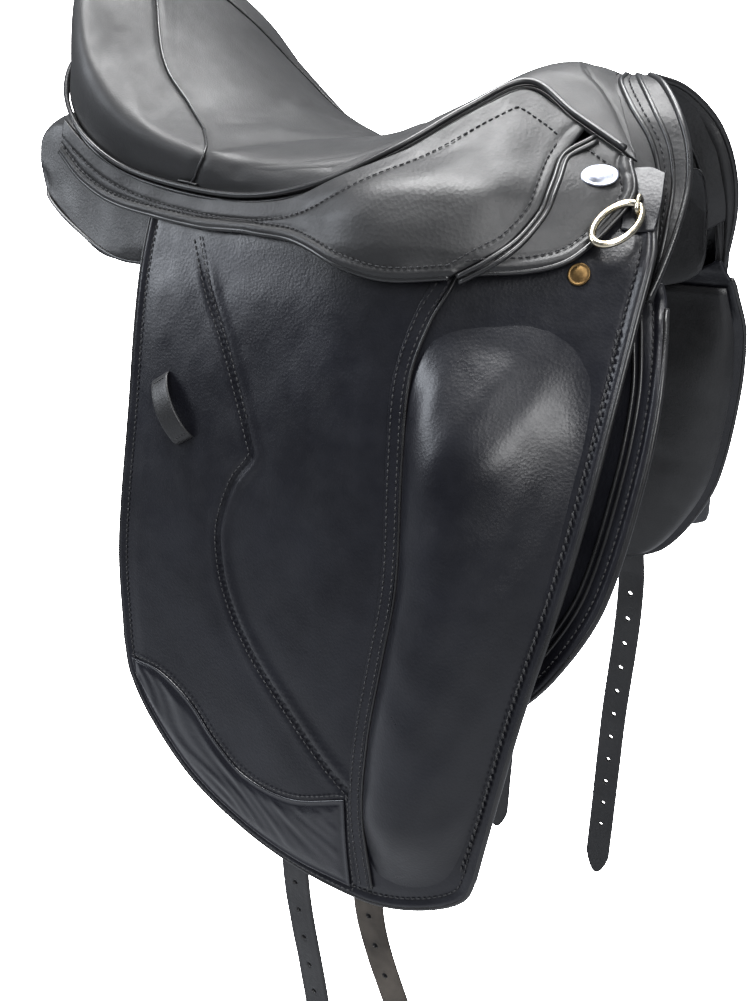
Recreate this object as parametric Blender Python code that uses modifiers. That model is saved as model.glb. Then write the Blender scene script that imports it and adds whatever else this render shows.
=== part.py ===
"""English dressage saddle: tree, padded seat, skirts, long flaps with knee blocks, panels and girth straps.

Metres, +Z up. +X is forward (pommel), +Y is the saddle's left, and the origin is the point on the
centre line, under the lowest part of the seat, where a rack's bar carries the saddle.
Side pieces are drawn as outlines in x and z and laid on one guide surface, the outer face of the flap.
"""

import math

import bmesh
import bpy
from mathutils import Matrix, Vector

SIDES = {"right": -1, "left": 1}

# Half width of the saddle at the flap's outer face, by height, behind the point of the tree.
BREADTH = [(0.08, 0.060), (0.05, 0.085), (0.02, 0.108), (0.0, 0.120), (-0.03, 0.130), (-0.10, 0.142),
           (-0.20, 0.155), (-0.30, 0.168), (-0.40, 0.182), (-0.52, 0.198)]
# How much narrower it is at the front arch, and how much wider beside the cantle.
FRONT_TAPER = [(0.08, 0.050), (0.0, 0.050), (-0.03, 0.042), (-0.10, 0.030), (-0.20, 0.020), (-0.30, 0.013),
               (-0.40, 0.010)]
REAR_FLARE = [(0.08, 0.050), (0.05, 0.035), (0.02, 0.015), (0.0, 0.005), (-0.03, 0.0), (-0.10, 0.0)]

# Layers, as distances outward from the guide surface.
FLAP_MID, FLAP_THICK = -0.002, 0.004
SKIRT_MID, SKIRT_THICK = 0.0036, 0.003
SKIRT_BULGE = 0.011          # the skirt stands this much prouder over the stirrup bar
STRAP_MID, STRAP_THICK = -0.0105, 0.0035
SWEAT_MID, SWEAT_THICK = -0.0178, 0.003
WEB_MID, WEB_THICK = -0.0172, 0.0014
PAD_OUTER = -0.0206
PLATE_MID, PLATE_THICK = -0.0240, 0.0040

BEND_Z = -0.050              # where the flap bends when it is lifted
FLAP_AXIS_Y = 0.1335
FLAP_SPLAY = {"right": 0.0, "left": math.radians(32)}    # how far each flap stands out when nothing holds it
SEAM_GAP = 0.0012            # between the fixed and the lifting part of a flap or skirt

# Seat stations, cantle to pommel: centre (x, z), rim (x, y, z) and welt (x, y, z).
SEAT = [
    ((-0.222, 0.167), (-0.244, 0.000, 0.177), (-0.262, 0.000, 0.112)),
    ((-0.211, 0.158), (-0.237, 0.042, 0.171), (-0.256, 0.044, 0.105)),
    ((-0.196, 0.145), (-0.223, 0.077, 0.156), (-0.243, 0.081, 0.089)),
    ((-0.174, 0.124), (-0.200, 0.104, 0.128), (-0.219, 0.109, 0.064)),
    ((-0.140, 0.093), (-0.172, 0.121, 0.088), (-0.186, 0.124, 0.039)),
    ((-0.095, 0.058), (-0.126, 0.124, 0.050), (-0.142, 0.124, 0.018)),
    ((-0.045, 0.038), (-0.060, 0.115, 0.030), (-0.060, 0.122, 0.005)),
    ((0.003, 0.038), (0.003, 0.100, 0.031), (0.000, 0.117, 0.011)),
    ((0.045, 0.049), (0.043, 0.080, 0.043), (0.049, 0.099, 0.032)),
    ((0.080, 0.071), (0.079, 0.055, 0.063), (0.083, 0.072, 0.055)),
    ((0.106, 0.083), (0.108, 0.033, 0.078), (0.110, 0.050, 0.069)),
    ((0.130, 0.083), (0.138, 0.034, 0.073), (0.142, 0.054, 0.051)),
    ((0.148, 0.0775), (0.162, 0.035, 0.061), (0.183, 0.060, 0.028)),
]
RIM_T = 0.64                 # where a station's curve passes its rim
SEAM_T = 0.40                # the seam between the seat's centre and its cantle sides
SEAM_S = 0.47                # where that seam turns out to the welt
COVER_THICK = 0.0016
FOAM_DEPTH = 0.0036           # the foam starts this far under the cover's face

# Girth straps.
STRAP_X = {"front": 0.110, "rear": 0.020}     # where each is sewn to the web
# How each strap lies: x at heights down to its tip.
STRAP_PATH = {
    "front_right": [(-0.320, 0.083), (-0.480, 0.066), (-0.585, 0.095), (-0.655, 0.122)],
    "rear_right": [(-0.320, 0.010), (-0.480, 0.001), (-0.585, 0.015), (-0.655, 0.026)],
    "front_left": [(-0.320, 0.143), (-0.480, 0.140), (-0.585, 0.139), (-0.655, 0.138)],
    "rear_left": [(-0.320, 0.028), (-0.480, 0.028), (-0.585, 0.025), (-0.655, 0.023)],
}
STRAP_WIDTH = 0.024
STRAP_TOP, STRAP_BREAK, STRAP_TIP = -0.032, -0.320, -0.655
STRAP_PIVOT = -0.036
HOLE_PITCH, HOLE_COUNT, HOLE_RADIUS, HOLE_FIRST = 0.0255, 11, 0.0022, -0.340

# Stirrup bar: a forged bar on a plate, open to the rear, closed by a catch.
BAR_X, BAR_Z = 0.080, -0.011
BAR_LENGTH, BAR_HEIGHT = 0.094, 0.012
BAR_BLADE, BAR_GAP, BAR_PLATE = 0.005, 0.0115, 0.0025

# D-ring: its staple's place, its half width and height, how it leans back and how far it stands out at rest.
DEE_PLACE = (0.1905, 0.0020)
DEE_HALF_WIDTH, DEE_HALF_HEIGHT = 0.0112, 0.0160
DEE_LEAN, DEE_STAND = math.radians(36), math.radians(14)

LEATHER = (0.012, 0.012, 0.014)
PALE_METAL = (0.62, 0.60, 0.55)


# ---------------------------------------------------------------- curves and surfaces

def smoothstep(t):
    t = min(1.0, max(0.0, t))
    return t * t * (3.0 - 2.0 * t)


def hermite(a, b, slope_a, slope_b, t):
    """The cubic from a to b with these slopes over the unit interval."""
    t2, t3 = t * t, t * t * t
    return (2 * t3 - 3 * t2 + 1) * a + (t3 - 2 * t2 + t) * slope_a + (3 * t2 - 2 * t3) * b + (t3 - t2) * slope_b


def table(keys, x):
    """A smooth function through (x, value) keys, straight beyond its ends."""
    keys = sorted(keys)
    slopes = []
    for i in range(len(keys)):
        low, high = keys[max(0, i - 1)], keys[min(len(keys) - 1, i + 1)]
        slopes.append((high[1] - low[1]) / (high[0] - low[0]))
    if x <= keys[0][0]:
        return keys[0][1] + slopes[0] * (x - keys[0][0])
    for i in range(len(keys) - 1):
        (x0, y0), (x1, y1) = keys[i], keys[i + 1]
        if x <= x1:
            step = x1 - x0
            return hermite(y0, y1, slopes[i] * step, slopes[i + 1] * step, (x - x0) / step)
    return keys[-1][1] + slopes[-1] * (x - keys[-1][0])


def spline(points, t):
    """A point on the smooth curve through points, at t from 0 to 1 by their chord lengths."""
    points = [Vector(p) for p in points]
    lengths = [(b - a).length for a, b in zip(points, points[1:])]
    target = min(1.0, max(0.0, t)) * sum(lengths)
    i = 0
    while i < len(lengths) - 1 and target > lengths[i]:
        target -= lengths[i]
        i += 1
    def slope(k):
        if k == 0:
            return (points[1] - points[0]) / lengths[0]
        if k == len(points) - 1:
            return (points[-1] - points[-2]) / lengths[-1]
        return (points[k + 1] - points[k - 1]) / (lengths[k] + lengths[k - 1])
    h = lengths[i]
    return hermite(points[i], points[i + 1], slope(i) * h, slope(i + 1) * h, target / h)


def half_width(x, z):
    """The guide surface: distance from the centre plane to the flap's outer face."""
    front = smoothstep((x - 0.02) / 0.19)
    rear = smoothstep((-0.06 - x) / 0.12)
    return table(BREADTH, z) - table(FRONT_TAPER, z) * front + table(REAR_FLARE, z) * rear


def side_normal(x, z):
    d = 0.002
    slope_x = (half_width(x + d, z) - half_width(x - d, z)) / (2 * d)
    slope_z = (half_width(x, z + d) - half_width(x, z - d)) / (2 * d)
    return Vector((-slope_x, 1.0, -slope_z)).normalized()


def side_point(x, z, offset=0.0):
    """The point of the left side's guide surface at x and z, moved outward by offset."""
    return Vector((x, half_width(x, z), z)) + side_normal(x, z) * offset


def patch(top, bottom, rear, front, u, v):
    """A point in a four-sided outline: u runs from rear to front, v from top to bottom."""
    t, b, r, f = spline(top, u), spline(bottom, u), spline(rear, v), spline(front, v)
    corners = (Vector(top[0]) * (1 - u) * (1 - v) + Vector(top[-1]) * u * (1 - v)
               + Vector(bottom[0]) * (1 - u) * v + Vector(bottom[-1]) * u * v)
    return t * (1 - v) + b * v + r * (1 - u) + f * u - corners


def seat_point(s, t):
    """A point of the seat's left half: s from cantle to pommel, t from the centre line to the welt."""
    place = s * (len(SEAT) - 1)
    i = min(int(place), len(SEAT) - 2)
    f = place - i

    def station(k):
        k = min(max(k, 0), len(SEAT) - 1)
        (cx, cz), rim, welt = SEAT[k]
        return [Vector((cx, 0.0, cz)), Vector(rim), Vector(welt)]
    rows = [station(k) for k in (i - 1, i, i + 1, i + 2)]
    centre, rim, welt = [hermite(rows[1][n], rows[2][n], (rows[2][n] - rows[0][n]) / 2,
                                 (rows[3][n] - rows[1][n]) / 2, f) for n in range(3)]
    across = Vector((0.0, rim.y, 0.0)) + (rim - centre) * 0.25
    over = (welt - centre) * 0.5
    if t <= RIM_T:
        return hermite(centre, rim, Vector((0.0, across.y, 0.0)), over, t / RIM_T)
    return hermite(rim, welt, over * 0.75, (welt - rim) * 0.9, (t - RIM_T) / (1 - RIM_T))


def seat_normal(s, t):
    d = 0.004
    along = seat_point(min(1, s + d), t) - seat_point(max(0, s - d), t)
    across = seat_point(s, min(1, t + d)) - seat_point(s, max(0, t - d))
    return along.cross(across).normalized()


# ---------------------------------------------------------------- objects

def clear_scene():
    for obj in list(bpy.data.objects):
        bpy.data.objects.remove(obj, do_unlink=True)


def collection(name):
    made = bpy.data.collections.new(name)
    bpy.context.scene.collection.children.link(made)
    return made


def material(name, colour, roughness, metallic=0.0):
    made = bpy.data.materials.new(name)
    made.use_nodes = True
    shader = made.node_tree.nodes["Principled BSDF"]
    shader.inputs["Base Color"].default_value = (*colour, 1.0)
    shader.inputs["Roughness"].default_value = roughness
    shader.inputs["Metallic"].default_value = metallic
    return made


def add_mesh(name, bm, finish, parts, smooth=True):
    mesh = bpy.data.meshes.new(name)
    bm.to_mesh(mesh)
    bm.free()
    if smooth:
        mesh.shade_smooth()
    mesh.materials.append(material(name, *finish))
    obj = bpy.data.objects.new(name, mesh)
    parts.objects.link(obj)
    return obj


def grid(bm, rows, flip=False):
    """Quads between rows of points."""
    verts = [[bm.verts.new(p) for p in row] for row in rows]
    for a, b in zip(verts, verts[1:]):
        for i in range(len(a) - 1):
            corners = [a[i], a[i + 1], b[i + 1], b[i]]
            bm.faces.new(corners[::-1] if flip else corners)
    return verts


def mirrored(point, side):
    return Vector((point.x, point.y * side, point.z))


def solidify(obj, thickness, offset=0.0):
    mod = obj.modifiers.new("thickness", "SOLIDIFY")
    mod.thickness = thickness
    mod.offset = offset
    mod.use_even_offset = True


def mirror_halves(obj):
    mod = obj.modifiers.new("halves", "MIRROR")
    mod.use_axis = (False, True, False)
    mod.merge_threshold = 0.0001


def side_sheet(name, side, outline, offset, thickness, finish, parts, cells=(14, 8)):
    """Sheet leather laid on the side, from its top, bottom, rear and front outlines."""
    columns, rows = cells
    points = []
    for j in range(rows + 1):
        line = []
        for i in range(columns + 1):
            x, z = patch(*outline, i / columns, j / rows)
            away = offset(x, z) if callable(offset) else offset
            line.append(mirrored(side_point(x, z, away), side))
        points.append(line)
    bm = bmesh.new()
    grid(bm, points, flip=side < 0)
    obj = add_mesh(name, bm, finish, parts)
    solidify(obj, thickness)
    return obj


def closed_pad(name, outer, inner, finish, parts):
    """A closed solid between an outer and an inner grid of points of the same size."""
    bm = bmesh.new()
    a = grid(bm, outer)
    b = grid(bm, inner)
    last_row, last = len(a) - 1, len(a[0]) - 1
    ring = [(0, i) for i in range(last)] + [(j, last) for j in range(last_row)]
    ring += [(last_row, i) for i in range(last, 0, -1)] + [(j, 0) for j in range(last_row, 0, -1)]
    for (j, i), (n, m) in zip(ring, ring[1:] + ring[:1]):
        bm.faces.new([a[j][i], a[n][m], b[n][m], b[j][i]])
    bmesh.ops.recalc_face_normals(bm, faces=bm.faces)
    return add_mesh(name, bm, finish, parts)


def side_pad(name, side, outline, base, height, finish, parts, cells=(8, 14)):
    """A cushion on the side: its flat face at base, its crowned face base plus height(u, v)."""
    columns, rows = cells
    outer, inner = [], []
    for j in range(rows + 1):
        places = [(i / columns, j / rows) for i in range(columns + 1)]
        spots = [(patch(*outline, u, v), height(u, v)) for u, v in places]
        outer.append([mirrored(side_point(p.x, p.y, base + h), side) for p, h in spots])
        inner.append([mirrored(side_point(p.x, p.y, base), side) for p, h in spots])
    return closed_pad(name, outer, inner, finish, parts)


def tube(name, points, radius, finish, parts, closed=False):
    curve = bpy.data.curves.new(name, "CURVE")
    curve.dimensions = "3D"
    curve.bevel_depth = radius
    curve.bevel_resolution = 1
    curve.use_fill_caps = True
    line = curve.splines.new("POLY")
    line.points.add(len(points) - 1)
    line.use_cyclic_u = closed
    for spot, p in zip(line.points, points):
        spot.co = (*p, 1.0)
    curve.materials.append(material(name, *finish))
    obj = bpy.data.objects.new(name, curve)
    parts.objects.link(obj)
    return obj


def side_frame(x, z, offset, side):
    """Local axes on the side: x along the saddle, y outward, z up the leather."""
    normal = side_normal(x, z)
    along = (side_point(x + 0.01, z) - side_point(x - 0.01, z)).normalized()
    up = along.cross(normal).normalized()
    origin = side_point(x, z, offset)
    frame = Matrix((along, normal, up)).transposed().to_4x4()
    frame.translation = origin
    return Matrix.Scale(-1, 4, Vector((0, 1, 0))) @ frame if side < 0 else frame


def side_solid(name, bm, place, finish, parts, smooth=True):
    """A closed mesh drawn in side_frame axes, moved to its place."""
    bmesh.ops.transform(bm, matrix=place, verts=bm.verts)
    bmesh.ops.recalc_face_normals(bm, faces=bm.faces)
    return add_mesh(name, bm, finish, parts, smooth)


def button(bm, radius, depth, dome, segments=16):
    """A domed round head: its flat face at y = 0, its crown at y = depth + dome."""
    profile = [(radius * 0.94, 0.0), (radius, depth * 0.5), (radius * 0.94, depth),
               (radius * 0.55, depth + dome * 0.75)]
    rings = []
    for r, y in profile:
        turns = [2 * math.pi * k / segments for k in range(segments)]
        rings.append([bm.verts.new((r * math.cos(a), y, r * math.sin(a))) for a in turns])
    for a, b in zip(rings, rings[1:]):
        for k in range(segments):
            n = (k + 1) % segments
            bm.faces.new([a[k], a[n], b[n], b[k]])
    bm.faces.new(rings[0])
    bm.faces.new(rings[-1])


def pivot(name, location, parts, children):
    """An empty on a joint's axis that carries the pieces that move on it."""
    empty = bpy.data.objects.new(name, None)
    empty.location = location
    parts.objects.link(empty)
    for child in children:
        child.parent = empty
        child.matrix_parent_inverse = Matrix.Translation(location).inverted()
    return empty


# ---------------------------------------------------------------- seat and tree

SEAT_ROWS, SEAT_COLUMNS = 20, 8


def seat_grid(s_values, t_values, depth=0.0):
    return [[seat_point(s, t) - seat_normal(s, t) * depth for t in t_values] for s in s_values]


def seat_cover(parts):
    """The seat leather in three pieces: a centre that runs on over the pommel, and two cantle sides."""
    leather = (LEATHER, 0.38)
    seam_row = round(SEAM_S * SEAT_ROWS)
    seam_column = round(SEAM_T * SEAT_COLUMNS)
    bm = bmesh.new()
    points = seat_grid([j / SEAT_ROWS for j in range(SEAT_ROWS + 1)],
                       [i / SEAT_COLUMNS for i in range(SEAT_COLUMNS + 1)])
    for row in points:
        row[0].y = 0.0
    verts = [[bm.verts.new(p) for p in row] for row in points]
    for j in range(SEAT_ROWS):
        for i in range(SEAT_COLUMNS):
            if j < seam_row and i >= seam_column:
                continue
            bm.faces.new([verts[j][i], verts[j + 1][i], verts[j + 1][i + 1], verts[j][i + 1]])
    bmesh.ops.delete(bm, geom=[v for v in bm.verts if not v.link_faces], context="VERTS")
    centre = add_mesh("seat_centre", bm, leather, parts)
    mirror_halves(centre)
    solidify(centre, COVER_THICK, -1.0)

    gap = 0.006
    for word, side in SIDES.items():
        s_last = seam_row / SEAT_ROWS - gap
        t_first = seam_column / SEAT_COLUMNS + 0.012
        s_values = [gap + (s_last - gap) * j / seam_row for j in range(seam_row + 1)]
        t_values = [t_first + (1 - t_first) * i / 4 for i in range(5)]
        rows = [[mirrored(p, side) for p in row] for row in seat_grid(s_values, t_values)]
        bm = bmesh.new()
        grid(bm, rows, flip=side > 0)
        obj = add_mesh(f"seat_side_{word}", bm, leather, parts)
        solidify(obj, COVER_THICK, -1.0)


def seat_layer(name, s_range, t_max, outer_depth, thickness, finish, parts, cells=(14, 8)):
    """A solid under the cover, between two depths, right across the seat."""
    rows, columns = cells
    outer, inner = [], []
    for j in range(rows + 1):
        s = s_range[0] + (s_range[1] - s_range[0]) * j / rows
        near, far = [], []
        for i in range(-columns // 2, columns // 2 + 1):
            t = t_max * abs(i) / (columns // 2)
            side = -1 if i < 0 else 1
            point, normal = seat_point(s, t), seat_normal(s, t)
            near.append(mirrored(point - normal * outer_depth(s), side))
            far.append(mirrored(point - normal * (outer_depth(s) + thickness(s)), side))
        outer.append(near)
        inner.append(far)
    return closed_pad(name, outer, inner, finish, parts)


def foam_thickness(s):
    return 0.0030 + 0.0050 * smoothstep((0.86 - s) / 0.2)


def tree_depth(s):
    return FOAM_DEPTH + 0.0016 + foam_thickness(s)


def tree(parts):
    """The moulded tree: cantle, two side rails and head, open in the middle under the webbing."""
    rows, columns = 16, 6
    s_first, s_last, t_max = 0.09, 0.96, 0.54
    slot_first, slot_last, slot_columns = 4, 12, 3
    thickness = 0.006
    bm = bmesh.new()
    verts = []
    for j in range(rows + 1):
        s = s_first + (s_last - s_first) * j / rows
        depth = tree_depth(s) + thickness / 2
        row = [seat_point(s, t_max * i / columns) - seat_normal(s, t_max * i / columns) * depth
               for i in range(columns + 1)]
        row[0].y = 0.0
        verts.append([bm.verts.new(p) for p in row])
    for j in range(rows):
        for i in range(columns):
            if slot_first <= j < slot_last and i < slot_columns:
                continue
            bm.faces.new([verts[j][i], verts[j + 1][i], verts[j + 1][i + 1], verts[j][i + 1]])
    bmesh.ops.delete(bm, geom=[v for v in bm.verts if not v.link_faces], context="VERTS")
    obj = add_mesh("tree", bm, ((0.09, 0.08, 0.07), 0.55), parts)
    mirror_halves(obj)
    solidify(obj, thickness)


def arch_curve(x):
    """The steel arch at x, from the crown down the left leg."""
    leg = [side_point(x, z, PLATE_MID) for z in (0.006, -0.02, -0.05, -0.085)]
    crown = [Vector((x, 0.0, 0.055)), Vector((x, 0.018, 0.052)), Vector((x, 0.035, 0.039))]
    return crown + leg


def head_arch(parts):
    bm = bmesh.new()
    rows = []
    for j in range(4):
        points = arch_curve(0.118 + 0.036 * j / 3)
        row = [spline(points, i / 12) for i in range(13)]
        row[0].y = 0.0
        rows.append(row)
    grid(bm, rows, flip=True)
    obj = add_mesh("head_arch", bm, ((0.35, 0.35, 0.36), 0.4, 1.0), parts)
    mirror_halves(obj)
    solidify(obj, PLATE_THICK)


def half_band(name, upper, lower, thickness, finish, parts, cells=(10, 2)):
    """A band of leather across the centre plane, between two curves of the left half."""
    columns, rows = cells
    points = []
    for j in range(rows + 1):
        row = [spline(upper, i / columns).lerp(spline(lower, i / columns), j / rows) for i in range(columns + 1)]
        row[0].y = 0.0
        points.append(row)
    bm = bmesh.new()
    grid(bm, points)
    obj = add_mesh(name, bm, finish, parts)
    mirror_halves(obj)
    solidify(obj, thickness)


def front_facing(parts):
    """The leather facing round the front of the arch."""
    upper = [(0.151, 0, 0.0745), (0.155, 0.019, 0.0695), (0.168, 0.035, 0.056), (0.185, 0.044, 0.036),
             (0.194, 0.0505, 0.014), (0.1985, 0.0625, -0.008), (0.2010, 0.0700, -0.030), (0.2010, 0.0755, -0.046)]
    lower = [(0.166, 0, 0.0738), (0.181, 0.020, 0.0675), (0.196, 0.036, 0.052), (0.2055, 0.0440, 0.0345),
             (0.2105, 0.053, 0.014), (0.2105, 0.0655, -0.008), (0.2070, 0.0750, -0.030), (0.2030, 0.0815, -0.046)]
    half_band("front_facing", upper, lower, 0.003, (LEATHER, 0.42), parts, cells=(14, 2))


def cantle_back(parts):
    """The leather that closes the back of the cantle, from the welt down to the panels."""
    edge = [seat_point(s, 1.0) for s in (0.0, 0.07, 0.14, 0.20, 0.24)]
    upper = [p + Vector((0.0035, -0.03 * p.y, -0.006)) for p in edge]
    lower = [p + Vector((0.010, -0.06 * p.y, -0.012 - 0.018 * (1 - p.y / edge[-1].y))) for p in upper]
    half_band("cantle_back", lower, upper, 0.003, (LEATHER, 0.42), parts)


def welts(parts):
    """The piping along the seat's edge, one run a side, from the cantle's back to the pommel."""
    for word, side in SIDES.items():
        points = []
        for k in range(37):
            s = 0.012 + 0.976 * k / 36
            points.append(mirrored(seat_point(s, 1.0) + seat_normal(s, 1.0) * 0.0026, side))
        tube(f"seat_welt_{word}", points, 0.0018, (LEATHER, 0.35), parts)


# ---------------------------------------------------------------- skirts and flaps

SKIRT_EDGE = [(-0.216, 0.030), (-0.196, 0.012), (-0.167, -0.002), (-0.129, -0.010), (-0.083, -0.016),
              (-0.045, -0.017)]
SKIRT_DROP = 0.0050
SKIRT_START, SKIRT_SEAM, SKIRT_END = 0.275, 0.920, 0.985     # where along the welt the skirt's pieces begin and end
FOLD_REAR, FOLD_FRONT = (-0.045, -0.014), (0.188, 0.012)
LOBE_EDGE = [(-0.034, -0.0185), (-0.008, -0.023), (0.032, -0.036), (0.064, -0.041), (0.0975, -0.040)]
FRONT_SKIRT_EDGE = [(0.1030, -0.040), (0.121, -0.036), (0.141, -0.029), (0.162, -0.018), (0.174, -0.005)]
SKIRT_HINGE = (0.060, 0.1318, 0.0030)      # on the fold, at the skirt's outer face


def under_welt(s_first, s_last, count):
    """The skirt's top edge, just under the seat's welt."""
    spots = [seat_point(s_first + (s_last - s_first) * k / (count - 1), 1.0) for k in range(count)]
    return [(p.x, p.z - SKIRT_DROP) for p in spots]


def fold_z(x):
    (x0, z0), (x1, z1) = FOLD_REAR, FOLD_FRONT
    return z0 + (z1 - z0) * (x - x0) / (x1 - x0)


def skirt_offset(x, z):
    """The skirt lies close to the flap, and stands proud where the stirrup bar and its catch are under it."""
    along = smoothstep(1.30 - abs(x - 0.078) / 0.075)
    up = smoothstep(1.35 - abs(z - BAR_Z) / 0.034)
    return SKIRT_MID + SKIRT_BULGE * along * up


def fold_line(x_first, x_last, shift):
    return [(x, fold_z(x) + shift) for x in (x_first, (x_first + x_last) / 2, x_last)]


def skirts(word, side, parts):
    leather = (LEATHER, 0.45)
    gap = SEAM_GAP / 2
    rear_top = under_welt(SKIRT_START, SKIRT_SEAM, 14)
    rear_bottom = SKIRT_EDGE + [(x, fold_z(x) + gap) for x in (-0.040, 0.040, 0.130)]
    side_sheet(f"skirt_rear_{word}", side,
               (rear_top, rear_bottom, [rear_top[0], rear_bottom[0]], [rear_top[-1], (0.135, 0.026), rear_bottom[-1]]),
               skirt_offset, SKIRT_THICK, leather, parts, cells=(16, 3))
    top = under_welt(SKIRT_SEAM + 0.012, SKIRT_END, 4)
    seam = [top[0], (0.1385, 0.026), (0.1325, 0.004), (0.1205, -0.022), FRONT_SKIRT_EDGE[0]]
    side_sheet(f"skirt_front_{word}", side,
               (top, FRONT_SKIRT_EDGE, seam, [top[-1], (0.186, 0.012), FRONT_SKIRT_EDGE[-1]]),
               skirt_offset, SKIRT_THICK, leather, parts, cells=(6, 6))
    lobe_top = fold_line(-0.032, 0.1255, -gap)
    lobe = side_sheet(f"skirt_lobe_{word}", side,
                      (lobe_top, LOBE_EDGE, [lobe_top[0], LOBE_EDGE[0]], [lobe_top[-1], (0.1135, -0.022), LOBE_EDGE[-1]]),
                      skirt_offset, SKIRT_THICK, leather, parts, cells=(12, 3))
    pivot(f"skirt_{word}_axis", mirrored(Vector(SKIRT_HINGE), side), parts, [lobe])


FLAP_REAR = [(-0.139, BEND_Z), (-0.146, -0.137), (-0.154, -0.213), (-0.156, -0.260), (-0.150, -0.322)]
FLAP_BOTTOM = [(-0.150, -0.322), (-0.143, -0.348), (-0.122, -0.377), (-0.079, -0.413), (-0.029, -0.435), (0.018, -0.446),
               (0.079, -0.450), (0.108, -0.445), (0.136, -0.433), (0.152, -0.420), (0.157, -0.405)]
FLAP_FRONT = [(0.203, BEND_Z), (0.200, -0.096), (0.195, -0.152), (0.187, -0.212), (0.173, -0.290), (0.163, -0.360),
              (0.157, -0.405)]


def flaps(word, side, parts, cutters):
    leather = (LEATHER, 0.36)
    top = [(-0.131, -0.006), (-0.05, -0.004), (0.02, 0.006), (0.08, 0.014), (0.14, 0.014), (0.18, 0.020), (0.196, 0.028)]
    bottom = [(-0.138, BEND_Z + SEAM_GAP), (0.03, BEND_Z + SEAM_GAP), (0.203, BEND_Z + SEAM_GAP)]
    upper = side_sheet(f"flap_top_{word}", side,
                       (top, bottom, [top[0], bottom[0]], [top[-1], (0.202, 0.005), (0.204, -0.02), bottom[-1]]),
                       FLAP_MID, FLAP_THICK, leather, parts, cells=(12, 3))
    window = bar_window(word, side, cutters)
    cut = upper.modifiers.new("bar_window", "BOOLEAN")
    cut.object = window
    cut.operation = "DIFFERENCE"
    flap_top_edge = [(-0.139, BEND_Z), (0.03, BEND_Z), (0.203, BEND_Z)]
    flap = side_sheet(f"flap_{word}", side, (flap_top_edge, FLAP_BOTTOM, FLAP_REAR, FLAP_FRONT),
                      FLAP_MID, FLAP_THICK, leather, parts, cells=(12, 9))
    pieces = [flap, knee_block(word, side, parts), boot_patch(word, side, parts), keeper_loop(word, side, parts)]
    hinge = pivot(f"flap_{word}_axis", mirrored(Vector((0.03, FLAP_AXIS_Y, BEND_Z)), side), parts, pieces)
    hinge.rotation_euler.x = side * FLAP_SPLAY[word]


BLOCK_REAR = [(0.093, -0.066), (0.085, -0.106), (0.083, -0.167), (0.085, -0.244), (0.077, -0.301), (0.076, -0.373),
              (0.088, -0.438)]
BLOCK_FRONT = [(0.186, -0.066), (0.186, -0.096), (0.181, -0.152), (0.173, -0.212), (0.159, -0.290), (0.149, -0.360),
               (0.142, -0.402)]
BLOCK_TOP = [BLOCK_REAR[0], (0.115, -0.060), (0.160, -0.060), BLOCK_FRONT[0]]
BLOCK_BOTTOM = [BLOCK_REAR[-1], (0.110, -0.436), (0.134, -0.424), BLOCK_FRONT[-1]]
BLOCK_HEIGHT = 0.030


def knee_block(word, side, parts):
    """The long outside block: tallest a third of the way down, and thin at its edges."""
    def height(u, v):
        across = math.sin(math.pi * min(1, max(0, u))) ** 0.6
        along = smoothstep(v / 0.30) * smoothstep((1.0 - v) / 0.22)
        return 0.0016 + BLOCK_HEIGHT * across * along * (1.0 - 0.25 * v)
    return side_pad(f"knee_block_{word}", side, (BLOCK_TOP, BLOCK_BOTTOM, BLOCK_REAR, BLOCK_FRONT),
                    0.0008, height, (LEATHER, 0.33), parts, cells=(6, 12))


def boot_patch(word, side, parts):
    """The smooth patch sewn on the flap's lower rear corner."""
    top = [(-0.141, -0.335), (-0.107, -0.335), (-0.072, -0.341), (-0.037, -0.369), (-0.003, -0.397), (0.024, -0.394),
           (0.062, -0.384)]
    bottom = [(-0.137, -0.345), (-0.118, -0.372), (-0.077, -0.407), (-0.028, -0.429), (0.018, -0.440), (0.070, -0.443)]
    return side_sheet(f"flap_patch_{word}", side,
                      (top, bottom, [top[0], bottom[0]], [top[-1], (0.064, -0.410), bottom[-1]]),
                      0.0012, 0.0012, (LEATHER, 0.22), parts, cells=(12, 3))


def keeper_loop(word, side, parts):
    """The loop that holds the end of the stirrup leather: a strip bowed away from the flap."""
    ends = Vector((-0.122, -0.113)), Vector((-0.096, -0.161))
    across = (ends[1] - ends[0]).normalized()
    across = Vector((-across.y, across.x))
    width, stand_off, thickness = 0.014, 0.0085, 0.0022
    outer, inner = [], []
    count = 12
    for k in range(count + 1):
        f = k / count
        rise = stand_off * smoothstep(min(f, 1 - f) / 0.22)
        spot = ends[0].lerp(ends[1], f)
        lines = [spot + across * width * w for w in (-0.5, 0.5)]
        inner.append([mirrored(side_point(p.x, p.y, 0.0005 + rise), side) for p in lines])
        outer.append([mirrored(side_point(p.x, p.y, 0.0005 + rise + thickness), side) for p in lines])
    return closed_pad(f"keeper_loop_{word}", outer, inner, (LEATHER, 0.40), parts)


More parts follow.
